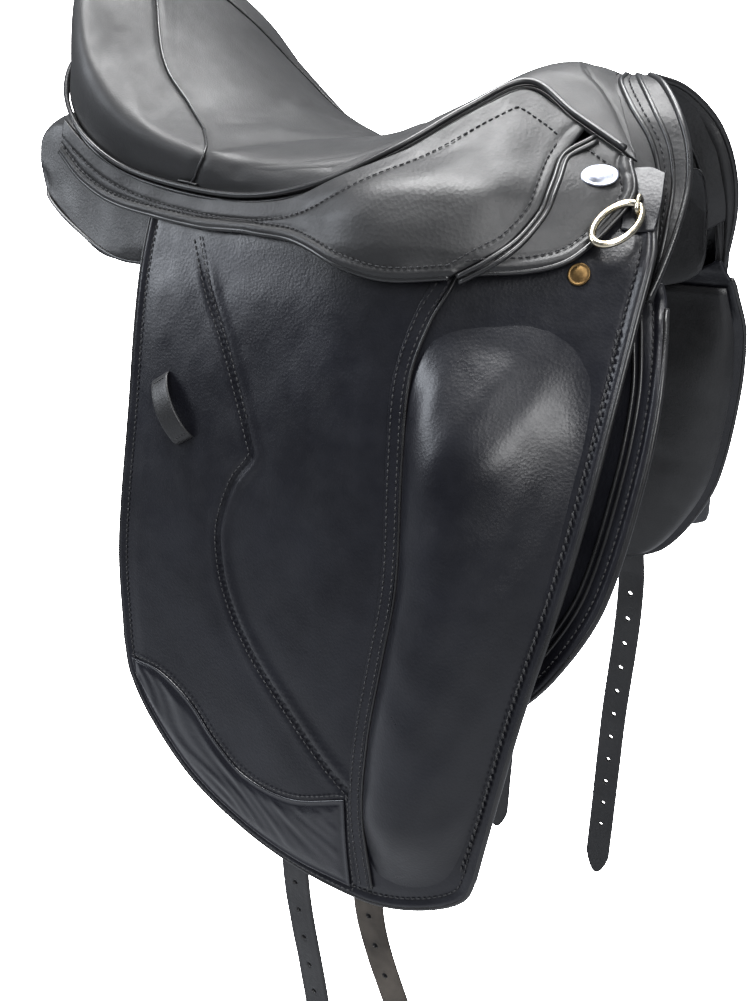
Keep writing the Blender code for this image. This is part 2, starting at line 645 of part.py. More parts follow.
def sweat_flap(word, side, parts):
    top = [(-0.075, -0.050), (0.060, -0.050), (0.212, -0.050)]
    rear = [(-0.075, -0.050), (-0.063, -0.12), (-0.037, -0.20), (0.0, -0.268)]
    bottom = [(0.0, -0.268), (0.045, -0.296), (0.100, -0.308), (0.142, -0.302)]
    front = [(0.212, -0.050), (0.221, -0.09), (0.220, -0.14), (0.210, -0.21), (0.194, -0.25), (0.170, -0.285),
             (0.142, -0.302)]
    side_sheet(f"sweat_flap_{word}", side, (top, bottom, rear, front), SWEAT_MID, SWEAT_THICK, (LEATHER, 0.5),
               parts, cells=(10, 8))
    web_top = [(-0.010, 0.0), (0.06, 0.004), (0.138, 0.0)]
    web_bottom = [(0.004, -0.0475), (0.07, -0.0475), (0.145, -0.0475)]
    side_sheet(f"girth_web_{word}", side,
               (web_top, web_bottom, [web_top[0], web_bottom[0]], [web_top[-1], web_bottom[-1]]),
               WEB_MID, WEB_THICK, ((0.30, 0.28, 0.24), 0.9), parts, cells=(6, 3))


def front_pad(word, side, parts):
    """The lower front of the panel: a thin flocked pad under the sweat flap."""
    top = [(-0.062, -0.090), (0.060, -0.090), (0.207, -0.090)]
    rear = [(-0.062, -0.090), (-0.055, -0.125), (-0.030, -0.197), (0.004, -0.260)]
    bottom = [(0.004, -0.260), (0.047, -0.288), (0.100, -0.300), (0.138, -0.294)]
    front = [(0.207, -0.090), (0.208, -0.15), (0.198, -0.207), (0.183, -0.245), (0.162, -0.278), (0.138, -0.294)]

    def height(u, v):
        edge = max(0.0, 1 - abs(2 * u - 1) ** 4) * max(0.0, 1 - abs(2 * v - 1) ** 4)
        return -(0.0015 + 0.0165 * math.sqrt(edge))
    side_pad(f"panel_front_{word}", side, (top, bottom, rear, front), PAD_OUTER, height, (LEATHER, 0.5), parts,
             cells=(8, 8))


# Panel sections: x, inner and outer y, bottom z at the inner and outer side, top z at the inner and outer side.
PANEL = [
    (-0.276, 0.056, 0.094, 0.010, 0.008, 0.044, 0.036),
    (-0.268, 0.044, 0.112, -0.010, -0.012, 0.060, 0.046),
    (-0.246, 0.036, 0.124, -0.030, -0.030, 0.068, 0.046),
    (-0.200, 0.033, 0.126, -0.044, -0.050, 0.052, 0.014),
    (-0.140, 0.033, 0.114, -0.040, -0.054, 0.024, -0.006),
    (-0.060, 0.034, 0.108, -0.034, -0.058, 0.010, -0.012),
    (0.000, 0.035, 0.106, -0.030, -0.062, 0.004, -0.016),
    (0.060, 0.036, 0.098, -0.022, -0.068, 0.008, -0.016),
    (0.096, 0.037, 0.078, -0.014, -0.072, 0.010, -0.016),
    (0.112, 0.037, 0.070, -0.012, -0.072, 0.010, -0.016),
    (0.150, 0.036, 0.060, 0.000, -0.072, 0.014, -0.012),
    (0.185, 0.034, 0.060, 0.012, -0.066, 0.026, -0.004),
    (0.200, 0.036, 0.056, 0.016, -0.052, 0.024, -0.006),
]


def panel(word, side, parts):
    """The long flocked cushion beside the spine channel, lofted through rounded sections."""
    turns = 14
    bm = bmesh.new()
    rings = []
    for x, y_in, y_out, low_in, low_out, top_in, top_out in PANEL:
        ring = []
        for k in range(turns):
            a = 2 * math.pi * k / turns
            across = math.copysign(abs(math.cos(a)) ** 0.6, math.cos(a))
            lift = math.copysign(abs(math.sin(a)) ** 0.6, math.sin(a))
            f = 0.5 + 0.5 * across
            low, high = low_in + (low_out - low_in) * f, top_in + (top_out - top_in) * f
            z = (low + high) / 2 + lift * (high - low) / 2
            y = y_in + (y_out - y_in) * f
            limit = half_width(x, z) - (0.0325 if x > 0.09 else 0.0228)
            ring.append(bm.verts.new((x, side * min(y, limit), z)))
        rings.append(ring)
    for a, b in zip(rings, rings[1:]):
        for k in range(turns):
            n = (k + 1) % turns
            bm.faces.new([a[k], a[n], b[n], b[k]])
    bm.faces.new(rings[0])
    bm.faces.new(rings[-1])
    bmesh.ops.recalc_face_normals(bm, faces=bm.faces)
    add_mesh(f"panel_{word}", bm, (LEATHER, 0.5), parts)


# ---------------------------------------------------------------- straps and metalwork

def strap_point(place, word, z, across=0.0):
    """A point of a strap at a height, across from its middle: along the sweat flap, then straight down."""
    x = table([(STRAP_TOP, STRAP_X[place])] + STRAP_PATH[f"{place}_{word}"], z) + across
    return Vector((x, side_point(x, max(z, STRAP_BREAK), STRAP_MID).y, z))


def girth_strap(place, word, side, parts, cutters):
    """A strap that lies on the sweat flap and hangs free below it, punched for the girth's buckles."""
    rows = []
    lean = [(STRAP_TOP + (STRAP_TIP + 0.022 - STRAP_TOP) * k / 12, 1.0) for k in range(13)]
    for z, narrow in lean + [(STRAP_TIP + 0.012, 0.80), (STRAP_TIP + 0.004, 0.45), (STRAP_TIP, 0.12)]:
        half = 0.5 * narrow * STRAP_WIDTH
        rows.append([mirrored(strap_point(place, word, z, across), side) for across in (-half, half)])
    bm = bmesh.new()
    grid(bm, rows, flip=side < 0)
    obj = add_mesh(f"girth_strap_{place}_{word}", bm, ((0.02, 0.02, 0.022), 0.55), parts)
    solidify(obj, STRAP_THICK)
    punch = bmesh.new()
    for k in range(HOLE_COUNT):
        at = mirrored(strap_point(place, word, HOLE_FIRST - HOLE_PITCH * k), side)
        turn = Matrix.Translation(at) @ Matrix.Rotation(math.pi / 2, 4, "X")
        bmesh.ops.create_cone(punch, cap_ends=True, segments=6, radius1=HOLE_RADIUS, radius2=HOLE_RADIUS, depth=0.02,
                              matrix=turn)
    cutter = add_mesh(f"punch_{place}_{word}", punch, (LEATHER, 0.5), cutters, smooth=False)
    cutter.hide_render = True
    cutter.display_type = "WIRE"
    cut = obj.modifiers.new("holes", "BOOLEAN")
    cut.object = cutter
    cut.operation = "DIFFERENCE"
    pivot(f"girth_strap_{place}_{word}_axis", mirrored(strap_point(place, word, STRAP_PIVOT), side), parts, [obj])


def bar_window(word, side, cutters):
    """The opening in the flap that the stirrup bar stands in."""
    bm = bmesh.new()
    bmesh.ops.create_cube(bm, size=1.0)
    bmesh.ops.scale(bm, vec=(0.128, 0.030, 0.032), verts=bm.verts)
    place = side_frame(BAR_X - 0.006, BAR_Z + 0.001, 0.0, side)
    window = side_solid(f"window_{word}", bm, place, (LEATHER, 0.5), cutters, smooth=False)
    window.hide_render = True
    window.display_type = "WIRE"
    return window


def stirrup_bar(word, side, parts):
    """A plate with a forged bar standing off it, joined at the front and open at the rear."""
    half, h = BAR_LENGTH / 2, BAR_HEIGHT / 2
    plate_in = 0.0
    plate_out = plate_in + BAR_PLATE
    blade_in = plate_out + BAR_GAP
    blade_out = blade_in + BAR_BLADE
    outline = [(-half, plate_in), (half, plate_in), (half, blade_out - 0.004), (half - 0.004, blade_out),
               (-half + 0.012, blade_out), (-half + 0.012, blade_in), (half - 0.009, blade_in),
               (half - 0.009, plate_out), (-half, plate_out)]
    bm = bmesh.new()
    low = [bm.verts.new((x, y, -h)) for x, y in outline]
    high = [bm.verts.new((x, y, h)) for x, y in outline]
    bm.faces.new(low)
    bm.faces.new(high)
    for k in range(len(outline)):
        n = (k + 1) % len(outline)
        bm.faces.new([low[k], low[n], high[n], high[k]])
    steel = ((0.50, 0.50, 0.50), 0.35, 1.0)
    base = side_frame(BAR_X, BAR_Z, -0.0150, side)
    side_solid(f"stirrup_bar_{word}", bm, base, steel, parts, smooth=False)

    for k, x in enumerate((-0.026, 0.026), 1):
        bm = bmesh.new()
        button(bm, 0.0036, 0.0008, 0.0010, segments=12)
        place = base @ Matrix.Translation((x, plate_out + 0.0003, 0.0))
        side_solid(f"bar_rivet_{k}_{word}", bm, place, steel, parts)

    hinge = Vector((-half + 0.0115, (blade_in + blade_out) / 2, 0.0))
    bm = bmesh.new()
    bmesh.ops.create_cube(bm, size=1.0)
    bmesh.ops.scale(bm, vec=(0.015, BAR_BLADE - 0.0018, BAR_HEIGHT - 0.003), verts=bm.verts)
    bmesh.ops.translate(bm, vec=hinge + Vector((-0.0080, 0.0, 0.0)), verts=bm.verts)
    catch = side_solid(f"bar_catch_{word}", bm, base, steel, parts, smooth=False)
    pivot(f"bar_catch_{word}_axis", base @ (hinge + Vector((0.0, 0.0, h + 0.0006))), parts, [catch])


def front_fittings(word, side, parts):
    """The badge on the skirt, the stud on the flap, and the D-ring on its staple."""
    bm = bmesh.new()
    button(bm, 0.0070, 0.0012, 0.0010, segments=20)
    bmesh.ops.scale(bm, vec=(1.50, 1.0, 0.95), verts=bm.verts)
    place = side_frame(0.165, 0.0160, SKIRT_MID + SKIRT_THICK / 2 + 0.0018, side)
    side_solid(f"badge_{word}", bm, place, ((0.70, 0.71, 0.73), 0.2, 1.0), parts)

    bm = bmesh.new()
    button(bm, 0.0065, 0.0012, 0.0016)
    place = side_frame(0.167, -0.032, 0.0008, side)
    side_solid(f"flap_stud_{word}", bm, place, ((0.42, 0.28, 0.12), 0.35, 1.0), parts)

    wire, rise = 0.0018, 0.0078
    frame = side_frame(*DEE_PLACE, 0.0, side)
    arc = [(0.0, 0.0018, 0.0060), (0.0, 0.0050, 0.0057), (0.0, rise + 0.0024, 0.0036), (0.0, rise + 0.0024, -0.0036),
           (0.0, 0.0050, -0.0057), (0.0, 0.0018, -0.0060)]
    tube(f"dee_staple_{word}", [frame @ spline(arc, k / 8) for k in range(9)], 0.0013, (PALE_METAL, 0.3, 1.0), parts)
    pivot_point = Vector((0.0, rise - 0.0012, 0.0))
    axis = Vector((math.cos(DEE_LEAN), 0.0, -math.sin(DEE_LEAN)))
    down = Matrix.Rotation(DEE_STAND, 3, axis) @ Vector((-math.sin(DEE_LEAN), 0.0, -math.cos(DEE_LEAN)))
    ring = []
    for k in range(16):
        a = 2 * math.pi * k / 16
        local = axis * DEE_HALF_WIDTH * math.sin(a) + down * DEE_HALF_HEIGHT * (1 - math.cos(a))
        ring.append(frame @ (pivot_point + local))
    ring_obj = tube(f"dee_ring_{word}", ring, wire, (PALE_METAL, 0.25, 1.0), parts, closed=True)
    pivot(f"dee_{word}_axis", frame @ pivot_point, parts, [ring_obj])


def main():
    clear_scene()
    parts = collection("dressage_saddle")
    cutters = collection("cutters")
    seat_cover(parts)
    seat_layer("seat_foam", (0.085, 0.955), 0.54, lambda s: FOAM_DEPTH, foam_thickness, ((0.45, 0.40, 0.30), 0.9), parts)
    tree(parts)
    head_arch(parts)
    front_facing(parts)
    cantle_back(parts)
    welts(parts)
    for word, side in SIDES.items():
        skirts(word, side, parts)
        flaps(word, side, parts, cutters)
        sweat_flap(word, side, parts)
        front_pad(word, side, parts)
        panel(word, side, parts)
        stirrup_bar(word, side, parts)
        front_fittings(word, side, parts)
        for place in STRAP_X:
            girth_strap(place, word, side, parts, cutters)


main()
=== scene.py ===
"""English dressage saddle in black leather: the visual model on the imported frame.

Side pieces are drawn as outlines in x and z on one guide surface, the flap's outer face, and are built
for the saddle's left side. The right side is the same piece mirrored. The left flap hangs splayed.
"""

import math

import bmesh
import bpy
import numpy as np
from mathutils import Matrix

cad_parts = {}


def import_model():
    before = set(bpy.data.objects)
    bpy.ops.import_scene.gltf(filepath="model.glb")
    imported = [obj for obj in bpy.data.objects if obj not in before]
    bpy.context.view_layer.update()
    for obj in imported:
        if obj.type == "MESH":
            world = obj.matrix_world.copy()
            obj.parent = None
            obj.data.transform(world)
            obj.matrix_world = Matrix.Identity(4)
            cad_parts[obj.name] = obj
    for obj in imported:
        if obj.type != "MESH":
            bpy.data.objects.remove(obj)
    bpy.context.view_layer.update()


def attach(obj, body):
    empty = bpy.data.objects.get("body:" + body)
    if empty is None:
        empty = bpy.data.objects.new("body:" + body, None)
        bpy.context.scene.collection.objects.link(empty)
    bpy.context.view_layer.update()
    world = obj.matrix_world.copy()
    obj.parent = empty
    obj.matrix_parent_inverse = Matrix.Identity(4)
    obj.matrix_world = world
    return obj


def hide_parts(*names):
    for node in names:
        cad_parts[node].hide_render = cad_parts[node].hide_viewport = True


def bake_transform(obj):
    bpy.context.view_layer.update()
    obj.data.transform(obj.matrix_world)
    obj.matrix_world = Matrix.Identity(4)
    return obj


SIDES = {"right": -1, "left": 1}

# ---------------------------------------------------------------- dimensions, in metres

# Half width of the saddle at the flap's outer face, by height, behind the point of the tree.
BREADTH = [(0.08, 0.060), (0.05, 0.085), (0.02, 0.108), (0.0, 0.120), (-0.03, 0.130), (-0.10, 0.142),
           (-0.20, 0.155), (-0.30, 0.168), (-0.40, 0.182), (-0.52, 0.198)]
FRONT_TAPER = [(0.08, 0.050), (0.0, 0.050), (-0.03, 0.042), (-0.10, 0.030), (-0.20, 0.020), (-0.30, 0.013),
               (-0.40, 0.010)]
REAR_FLARE = [(0.08, 0.050), (0.05, 0.035), (0.02, 0.015), (0.0, 0.005), (-0.03, 0.0), (-0.10, 0.0)]

# Layers, as distances outward from the guide surface.
FLAP_MID, FLAP_THICK = -0.002, 0.004
SKIRT_MID, SKIRT_THICK, SKIRT_BULGE = 0.0036, 0.003, 0.011
STRAP_MID, STRAP_THICK = -0.0105, 0.0035
SWEAT_MID, SWEAT_THICK = -0.0178, 0.003
WEB_MID, WEB_THICK = -0.0172, 0.0014
PAD_OUTER = -0.0206
FLAP_FACE = FLAP_MID + FLAP_THICK / 2
SKIRT_FACE = SKIRT_MID + SKIRT_THICK / 2

# The bend above the lifting part of a flap, and how far the left flap stands out at rest.
FLAP_AXIS_Y, FLAP_AXIS_Z = 0.1335, -0.050
BEND_TOP, BEND_END, BEND_END_SPLAYED = -0.040, -0.060, -0.0585
SPLAY = {-1: 0.0, 1: math.radians(32)}

# Seat stations, cantle to pommel: centre (x, y, z), rim and welt.
SEAT = np.array([
    ((-0.222, 0, 0.167), (-0.244, 0.000, 0.177), (-0.262, 0.000, 0.112)),
    ((-0.211, 0, 0.158), (-0.237, 0.042, 0.171), (-0.256, 0.044, 0.105)),
    ((-0.196, 0, 0.145), (-0.223, 0.077, 0.156), (-0.243, 0.081, 0.089)),
    ((-0.174, 0, 0.124), (-0.200, 0.104, 0.128), (-0.219, 0.109, 0.064)),
    ((-0.140, 0, 0.093), (-0.172, 0.121, 0.088), (-0.186, 0.124, 0.039)),
    ((-0.095, 0, 0.058), (-0.126, 0.124, 0.050), (-0.142, 0.124, 0.018)),
    ((-0.045, 0, 0.038), (-0.060, 0.115, 0.030), (-0.060, 0.122, 0.005)),
    ((0.003, 0, 0.038), (0.003, 0.100, 0.031), (0.000, 0.117, 0.011)),
    ((0.045, 0, 0.049), (0.043, 0.080, 0.043), (0.049, 0.099, 0.032)),
    ((0.080, 0, 0.071), (0.079, 0.055, 0.063), (0.083, 0.072, 0.055)),
    ((0.106, 0, 0.083), (0.108, 0.033, 0.078), (0.110, 0.050, 0.069)),
    ((0.130, 0, 0.083), (0.138, 0.034, 0.073), (0.142, 0.054, 0.051)),
    ((0.148, 0, 0.0775), (0.162, 0.035, 0.061), (0.183, 0.060, 0.028)),
])
RIM_T = 0.64
COVER_THICK = 0.0016
FOAM_DEPTH = 0.0036
# The seam between the seat's centre and its cantle side, and the front edge of the seat leather, as (s, t).
SEAT_SEAM = [(0.0, 0.20), (0.08, 0.20), (0.16, 0.215), (0.238, 0.262), (0.294, 0.312), (0.356, 0.375),
             (0.400, 0.400), (0.444, 0.488), (0.475, 0.688), (0.469, 0.888), (0.462, 0.985)]
SEAT_FRONT = [(0.905, 0.0), (0.912, 0.30), (0.928, 0.54), (0.972, 0.76), (0.994, 0.95)]

# Skirts.
SKIRT_EDGE = [(-0.216, 0.030), (-0.196, 0.012), (-0.167, -0.002), (-0.129, -0.010), (-0.083, -0.016),
              (-0.045, -0.017)]
SKIRT_BORDER = [(0.1500, 0.0410), (0.1430, 0.0350), (0.1400, 0.0250), (0.1395, 0.0120), (0.1380, -0.0020),
                (0.1275, -0.0205), (0.1115, -0.0305), (0.0985, -0.0375)]
LOBE_EDGE = [(-0.034, -0.0180), (-0.010, -0.0198), (0.012, -0.0255), (0.036, -0.0340), (0.062, -0.0393)]
FRONT_SKIRT_EDGE = [(0.115, -0.0350), (0.141, -0.0325), (0.1600, -0.0265), (0.1735, -0.0140)]
SKIRT_DROP = 0.0050
SKIRT_START, SKIRT_SEAM, SKIRT_END = 0.275, 0.930, 0.985
BAR_X, BAR_Z = 0.080, -0.011

# Flap.
FLAP_TOP = [(-0.131, -0.006), (-0.05, -0.004), (0.02, 0.006), (0.08, 0.014), (0.14, 0.012), (0.18, 0.002),
            (0.200, -0.006)]
FLAP_REAR = [(-0.131, -0.006), (-0.139, -0.05), (-0.146, -0.137), (-0.154, -0.213), (-0.156, -0.260),
             (-0.150, -0.322)]
FLAP_BOTTOM = [(-0.150, -0.322), (-0.143, -0.348), (-0.122, -0.377), (-0.079, -0.413), (-0.029, -0.435),
               (0.018, -0.446), (0.079, -0.450), (0.108, -0.445), (0.136, -0.433), (0.152, -0.420),
               (0.157, -0.405)]
FLAP_FRONT = [(0.200, -0.006), (0.204, -0.02), (0.203, -0.05), (0.200, -0.096), (0.195, -0.152),
              (0.187, -0.212), (0.173, -0.290), (0.163, -0.360), (0.157, -0.405)]
CALF_SEAM = [(-0.088, -0.022), (-0.075, -0.055), (-0.058, -0.089), (-0.042, -0.128), (-0.034, -0.150),
             (-0.0315, -0.158), (-0.036, -0.165), (-0.047, -0.179), (-0.057, -0.205), (-0.059, -0.224),
             (-0.051, -0.258), (-0.027, -0.297), (0.011, -0.334), (0.040, -0.359), (0.066, -0.378)]
BLOCK_REAR = [(0.0890, -0.061), (0.0805, -0.095), (0.0810, -0.150), (0.0840, -0.225), (0.0790, -0.275),
              (0.0735, -0.330), (0.0740, -0.385), (0.086, -0.438)]
BLOCK_FRONT = [(0.194, -0.059), (0.193, -0.096), (0.1875, -0.152), (0.1795, -0.212), (0.1655, -0.290),
               (0.155, -0.360), (0.147, -0.402)]
BLOCK_TOP = [(0.0890, -0.061), (0.112, -0.056), (0.165, -0.056), (0.194, -0.059)]
BLOCK_BOTTOM = [(0.086, -0.438), (0.110, -0.436), (0.136, -0.424), (0.147, -0.402)]
# The block's rise, how far its edge is tucked in, and how far its back is sunk in the flap.
BLOCK_HEIGHT, BLOCK_TUCK, BLOCK_SINK = 0.027, 0.0012, 0.0030
STRIP_WIDTH = 0.0098
STRIP_PATH = [(0.1020, -0.030), (0.0975, -0.043)] + BLOCK_REAR
PATCH_TOP = [(-0.141, -0.335), (-0.1125, -0.337), (-0.0815, -0.3515), (-0.0555, -0.3745), (-0.026, -0.3925),
             (0.015, -0.3955), (0.060, -0.3800)]
PATCH_BOTTOM = [(-0.137, -0.345), (-0.118, -0.372), (-0.077, -0.407), (-0.028, -0.429), (0.018, -0.440),
                (0.070, -0.443)]
KEEPER_ENDS, KEEPER_WIDTH = ((-0.1135, -0.1160), (-0.0895, -0.1580)), 0.0170
KEEPER_BASE, KEEPER_RISE = 0.0016, 0.0088

# Sweat flap, web and front pad.
SWEAT = (
    [(-0.075, -0.050), (0.060, -0.050), (0.150, -0.047), (0.190, -0.038), (0.2065, -0.026)],
    [(0.0, -0.268), (0.045, -0.296), (0.100, -0.308), (0.142, -0.302)],
    [(-0.075, -0.050), (-0.063, -0.12), (-0.037, -0.20), (0.0, -0.268)],
    [(0.2065, -0.026), (0.2115, -0.040), (0.2155, -0.056), (0.221, -0.09), (0.220, -0.14), (0.210, -0.21),
     (0.194, -0.25), (0.170, -0.285), (0.142, -0.302)],
)
WEB = (
    [(-0.010, 0.0), (0.06, 0.004), (0.138, 0.0)],
    [(0.004, -0.0475), (0.07, -0.0475), (0.145, -0.0475)],
    [(-0.010, 0.0), (0.004, -0.0475)],
    [(0.138, 0.0), (0.145, -0.0475)],
)
FRONT_PAD = (
    [(-0.066, -0.058), (0.060, -0.054), (0.2095, -0.050)],
    [(0.003, -0.263), (0.047, -0.291), (0.100, -0.303), (0.140, -0.298)],
    [(-0.066, -0.058), (-0.058, -0.122), (-0.033, -0.197), (0.003, -0.263)],
    [(0.2095, -0.050), (0.2165, -0.09), (0.216, -0.14), (0.206, -0.208), (0.190, -0.247), (0.167, -0.281),
     (0.140, -0.298)],
)
# Panel sections: x, inner and outer y, bottom z and top z at the inner and outer side.
PANEL = np.array([
    (-0.276, 0.060, 0.090, 0.014, 0.012, 0.042, 0.034),
    (-0.268, 0.046, 0.108, -0.004, -0.006, 0.058, 0.044),
    (-0.246, 0.036, 0.122, -0.027, -0.027, 0.068, 0.046),
    (-0.200, 0.033, 0.126, -0.044, -0.050, 0.052, 0.014),
    (-0.140, 0.033, 0.114, -0.040, -0.054, 0.024, -0.006),
    (-0.060, 0.034, 0.108, -0.034, -0.058, 0.010, -0.012),
    (0.000, 0.035, 0.106, -0.030, -0.062, 0.004, -0.016),
    (0.060, 0.036, 0.098, -0.022, -0.068, 0.008, -0.016),
    (0.096, 0.037, 0.078, -0.014, -0.072, 0.010, -0.016),
    (0.112, 0.037, 0.070, -0.012, -0.072, 0.010, -0.016),
    (0.150, 0.036, 0.060, 0.000, -0.072, 0.014, -0.012),
    (0.185, 0.034, 0.060, 0.012, -0.066, 0.026, -0.004),
    (0.200, 0.036, 0.056, 0.016, -0.052, 0.024, -0.006),
])

# Girth straps.
STRAP_X = {"front": 0.110, "rear": 0.020}
STRAP_PATH = {
    "front_right": [(-0.320, 0.083), (-0.480, 0.066), (-0.585, 0.095), (-0.655, 0.122)],
    "rear_right": [(-0.320, 0.010), (-0.480, 0.001), (-0.585, 0.015), (-0.655, 0.026)],
    "front_left": [(-0.320, 0.143), (-0.480, 0.140), (-0.585, 0.139), (-0.655, 0.138)],
    "rear_left": [(-0.320, 0.028), (-0.480, 0.028), (-0.585, 0.025), (-0.655, 0.023)],
}
FLESH_OUT = {"front_right"}        # this strap hangs with its unfinished side outward
STRAP_WIDTH = 0.024
STRAP_TOP, STRAP_BREAK, STRAP_TIP = -0.032, -0.320, -0.655
HOLE_PITCH, HOLE_COUNT, HOLE_RADIUS, HOLE_FIRST = 0.0255, 11, 0.0022, -0.340

# Front arch: the facing's inner and outer edge on the left half, from the crown down.
ARCH_UPPER = [(0.151, 0, 0.0745), (0.155, 0.019, 0.0695), (0.168, 0.035, 0.056), (0.185, 0.044, 0.036),
              (0.194, 0.0505, 0.014), (0.1985, 0.0625, -0.008), (0.2010, 0.0700, -0.030),
              (0.2010, 0.0755, -0.046)]
ARCH_OUTER = [(0.166, 0, 0.0738), (0.181, 0.020, 0.0675), (0.196, 0.036, 0.052), (0.2055, 0.0440, 0.0345),
              (0.2105, 0.053, 0.014), (0.2105, 0.0655, -0.008), (0.2070, 0.0750, -0.030),
              (0.2030, 0.0815, -0.046)]
ARCH_ROW = 0.20                    # share of the facing's width where its stitches run

# D-ring: its staple's place, its half width and height, how it leans back and how far it stands out.
DEE_PLACE, DEE_RISE, DEE_WIRE = (0.1905, 0.0020), 0.0078, 0.0021
DEE_HALF_WIDTH, DEE_HALF_HEIGHT = 0.0095, 0.0160
DEE_LEAN, DEE_STAND = math.radians(36), math.radians(14)
# The leather tab behind the ring.
TAB = (
    [(0.180, 0.0235), (0.190, 0.0240), (0.199, 0.0210)],
    [(0.183, -0.0085), (0.192, -0.0095), (0.2015, -0.0085)],
    [(0.180, 0.0235), (0.181, 0.0070), (0.183, -0.0085)],
    [(0.199, 0.0210), (0.2015, 0.0060), (0.2015, -0.0085)],
)
# Profiles of the badge and the stud: (radius, height) from the rim inward.
BADGE_DOME = [(0.0070, 0.0), (0.0072, 0.0006), (0.0069, 0.0013), (0.0062, 0.0015), (0.0058, 0.0012),
              (0.0050, 0.0014), (0.0036, 0.0019), (0.0018, 0.0022), (0.0004, 0.0022)]
STUD_DOME = [(0.0062, 0.0), (0.0065, 0.0005), (0.0064, 0.0012), (0.0058, 0.0016), (0.0052, 0.0011),
             (0.0044, 0.0013), (0.0030, 0.0017), (0.0014, 0.0019), (0.0003, 0.0019)]

STITCH_PITCH, STITCH_LENGTH, STITCH_RADIUS = 0.0042, 0.0028, 0.00042
STITCH_REACH = 0.0008              # either way along the row, to find a stitch's direction
# One stitch as rings: place along its length, share of its radius, and rise in radii.
STITCH_RINGS = (-0.5, 0.45, -0.35), (-0.36, 1.0, 0.25), (0.36, 1.0, 0.25), (0.5, 0.45, -0.35)

# How far each row of stitches runs from the edge or seam beside it.
SEWN = {
    "skirt_rim": 0.0062, "skirt_top": 0.0105, "skirt_seam": 0.0060,
    "front_skirt": 0.0066, "front_skirt_top": 0.0075,
    "flap": 0.0072, "calf_behind": -0.0026, "calf_ahead": 0.0034,
    "strip_front": 0.0022, "strip_rear": 0.0080, "patch": 0.0030, "sweat": 0.0066,
}
CALF_DOUBLE_ROW = 62               # points of the calf seam, from its top, with a second row of stitches

# Radius of each run of piping, by the name of its piece.
PIPING = {
    "seat_seam_piping": 0.0009, "seat_seam_tuck": 0.0009, "seat_edge_piping": 0.0019,
    "seat_edge_bead": 0.0012,
    "arch_inner_piping": 0.0017, "arch_middle_piping": 0.0015, "arch_outer_piping": 0.0019,
    "arch_lining_piping_0": 0.0011, "arch_lining_piping_1": 0.0011, "cantle_piping": 0.0013,
    "skirt_rim_piping": 0.0017, "skirt_seam_piping_0": 0.0015, "skirt_seam_piping_1": 0.0016,
    "front_skirt_piping": 0.0017, "flap_edge_piping": 0.0019, "block_piping": 0.0011,
    "sweat_piping": 0.0018, "sweat_welt_0": 0.0012, "sweat_welt_1": 0.0012,
    "panel_lower_piping": 0.0015, "panel_inner_piping": 0.0015,
}

# Distances from a sheet's edge of the rows of points beside it, and where its even grid starts.
EDGE_STEPS = np.array([0.0, 0.0003, 0.0009, 0.0018, 0.0030, 0.0043, 0.0056, 0.0068, 0.0080, 0.0095])
EDGE_MARGIN = 0.0125
DENSE_STEP = 0.002                 # between the points that trace an outline

# How the cushions are blown out: air pressure, the leather's stiffness and resistance to bending, and frames.
CLOTH_PRESSURE, CLOTH_STIFFNESS, CLOTH_BENDING, CLOTH_FRAMES = 4.0, 25.0, 2.0, 20


# ---------------------------------------------------------------- curves and surfaces

def smoothstep(t):
    t = np.clip(t, 0.0, 1.0)
    return t * t * (3.0 - 2.0 * t)


def bump(distance, width):
    return np.exp(-(distance / width) ** 2)


def unit(vectors):
    return vectors / np.linalg.norm(vectors, axis=-1, keepdims=True)


def arc_lengths(path):
    """How far along a path each of its points lies."""
    return np.concatenate([[0.0], np.cumsum(np.linalg.norm(np.diff(path, axis=0), axis=1))])


def read_along(at, arc, values):
    """Rows of values known at the lengths arc, read at the lengths at."""
    return np.stack([np.interp(at, arc, column) for column in values.T], axis=1)


def both_halves(half):
    """A grid that starts on the centre plane, joined to its mirror image."""
    return np.concatenate([half[:, :0:-1] * (1, -1, 1), half], axis=1)


def between(first, second, share):
    """Keys part of the way from one list of keys to another."""
    return [tuple(np.array(a) * (1 - share) + np.array(b) * share) for a, b in zip(first, second)]


def hermite(a, b, slope_a, slope_b, t):
    """The cubic from a to b with these slopes over the unit interval."""
    t2, t3 = t * t, t * t * t
    return ((2 * t3 - 3 * t2 + 1) * a + (t3 - 2 * t2 + t) * slope_a
            + (3 * t2 - 2 * t3) * b + (t3 - t2) * slope_b)


def table(keys, x):
    """A smooth function through (x, value) keys, straight beyond its ends."""
    xs, ys = np.array(sorted(keys), float).T
    last = len(xs) - 1
    low = np.maximum(np.arange(last + 1) - 1, 0)
    high = np.minimum(np.arange(last + 1) + 1, last)
    slopes = (ys[high] - ys[low]) / (xs[high] - xs[low])
    x = np.asarray(x, float)
    i = np.clip(np.searchsorted(xs, x) - 1, 0, last - 1)
    step = xs[i + 1] - xs[i]
    t = np.clip((x - xs[i]) / step, 0.0, 1.0)
    inside = hermite(ys[i], ys[i + 1], slopes[i] * step, slopes[i + 1] * step, t)
    return inside + slopes[0] * np.minimum(x - xs[0], 0.0) + slopes[-1] * np.maximum(x - xs[-1], 0.0)


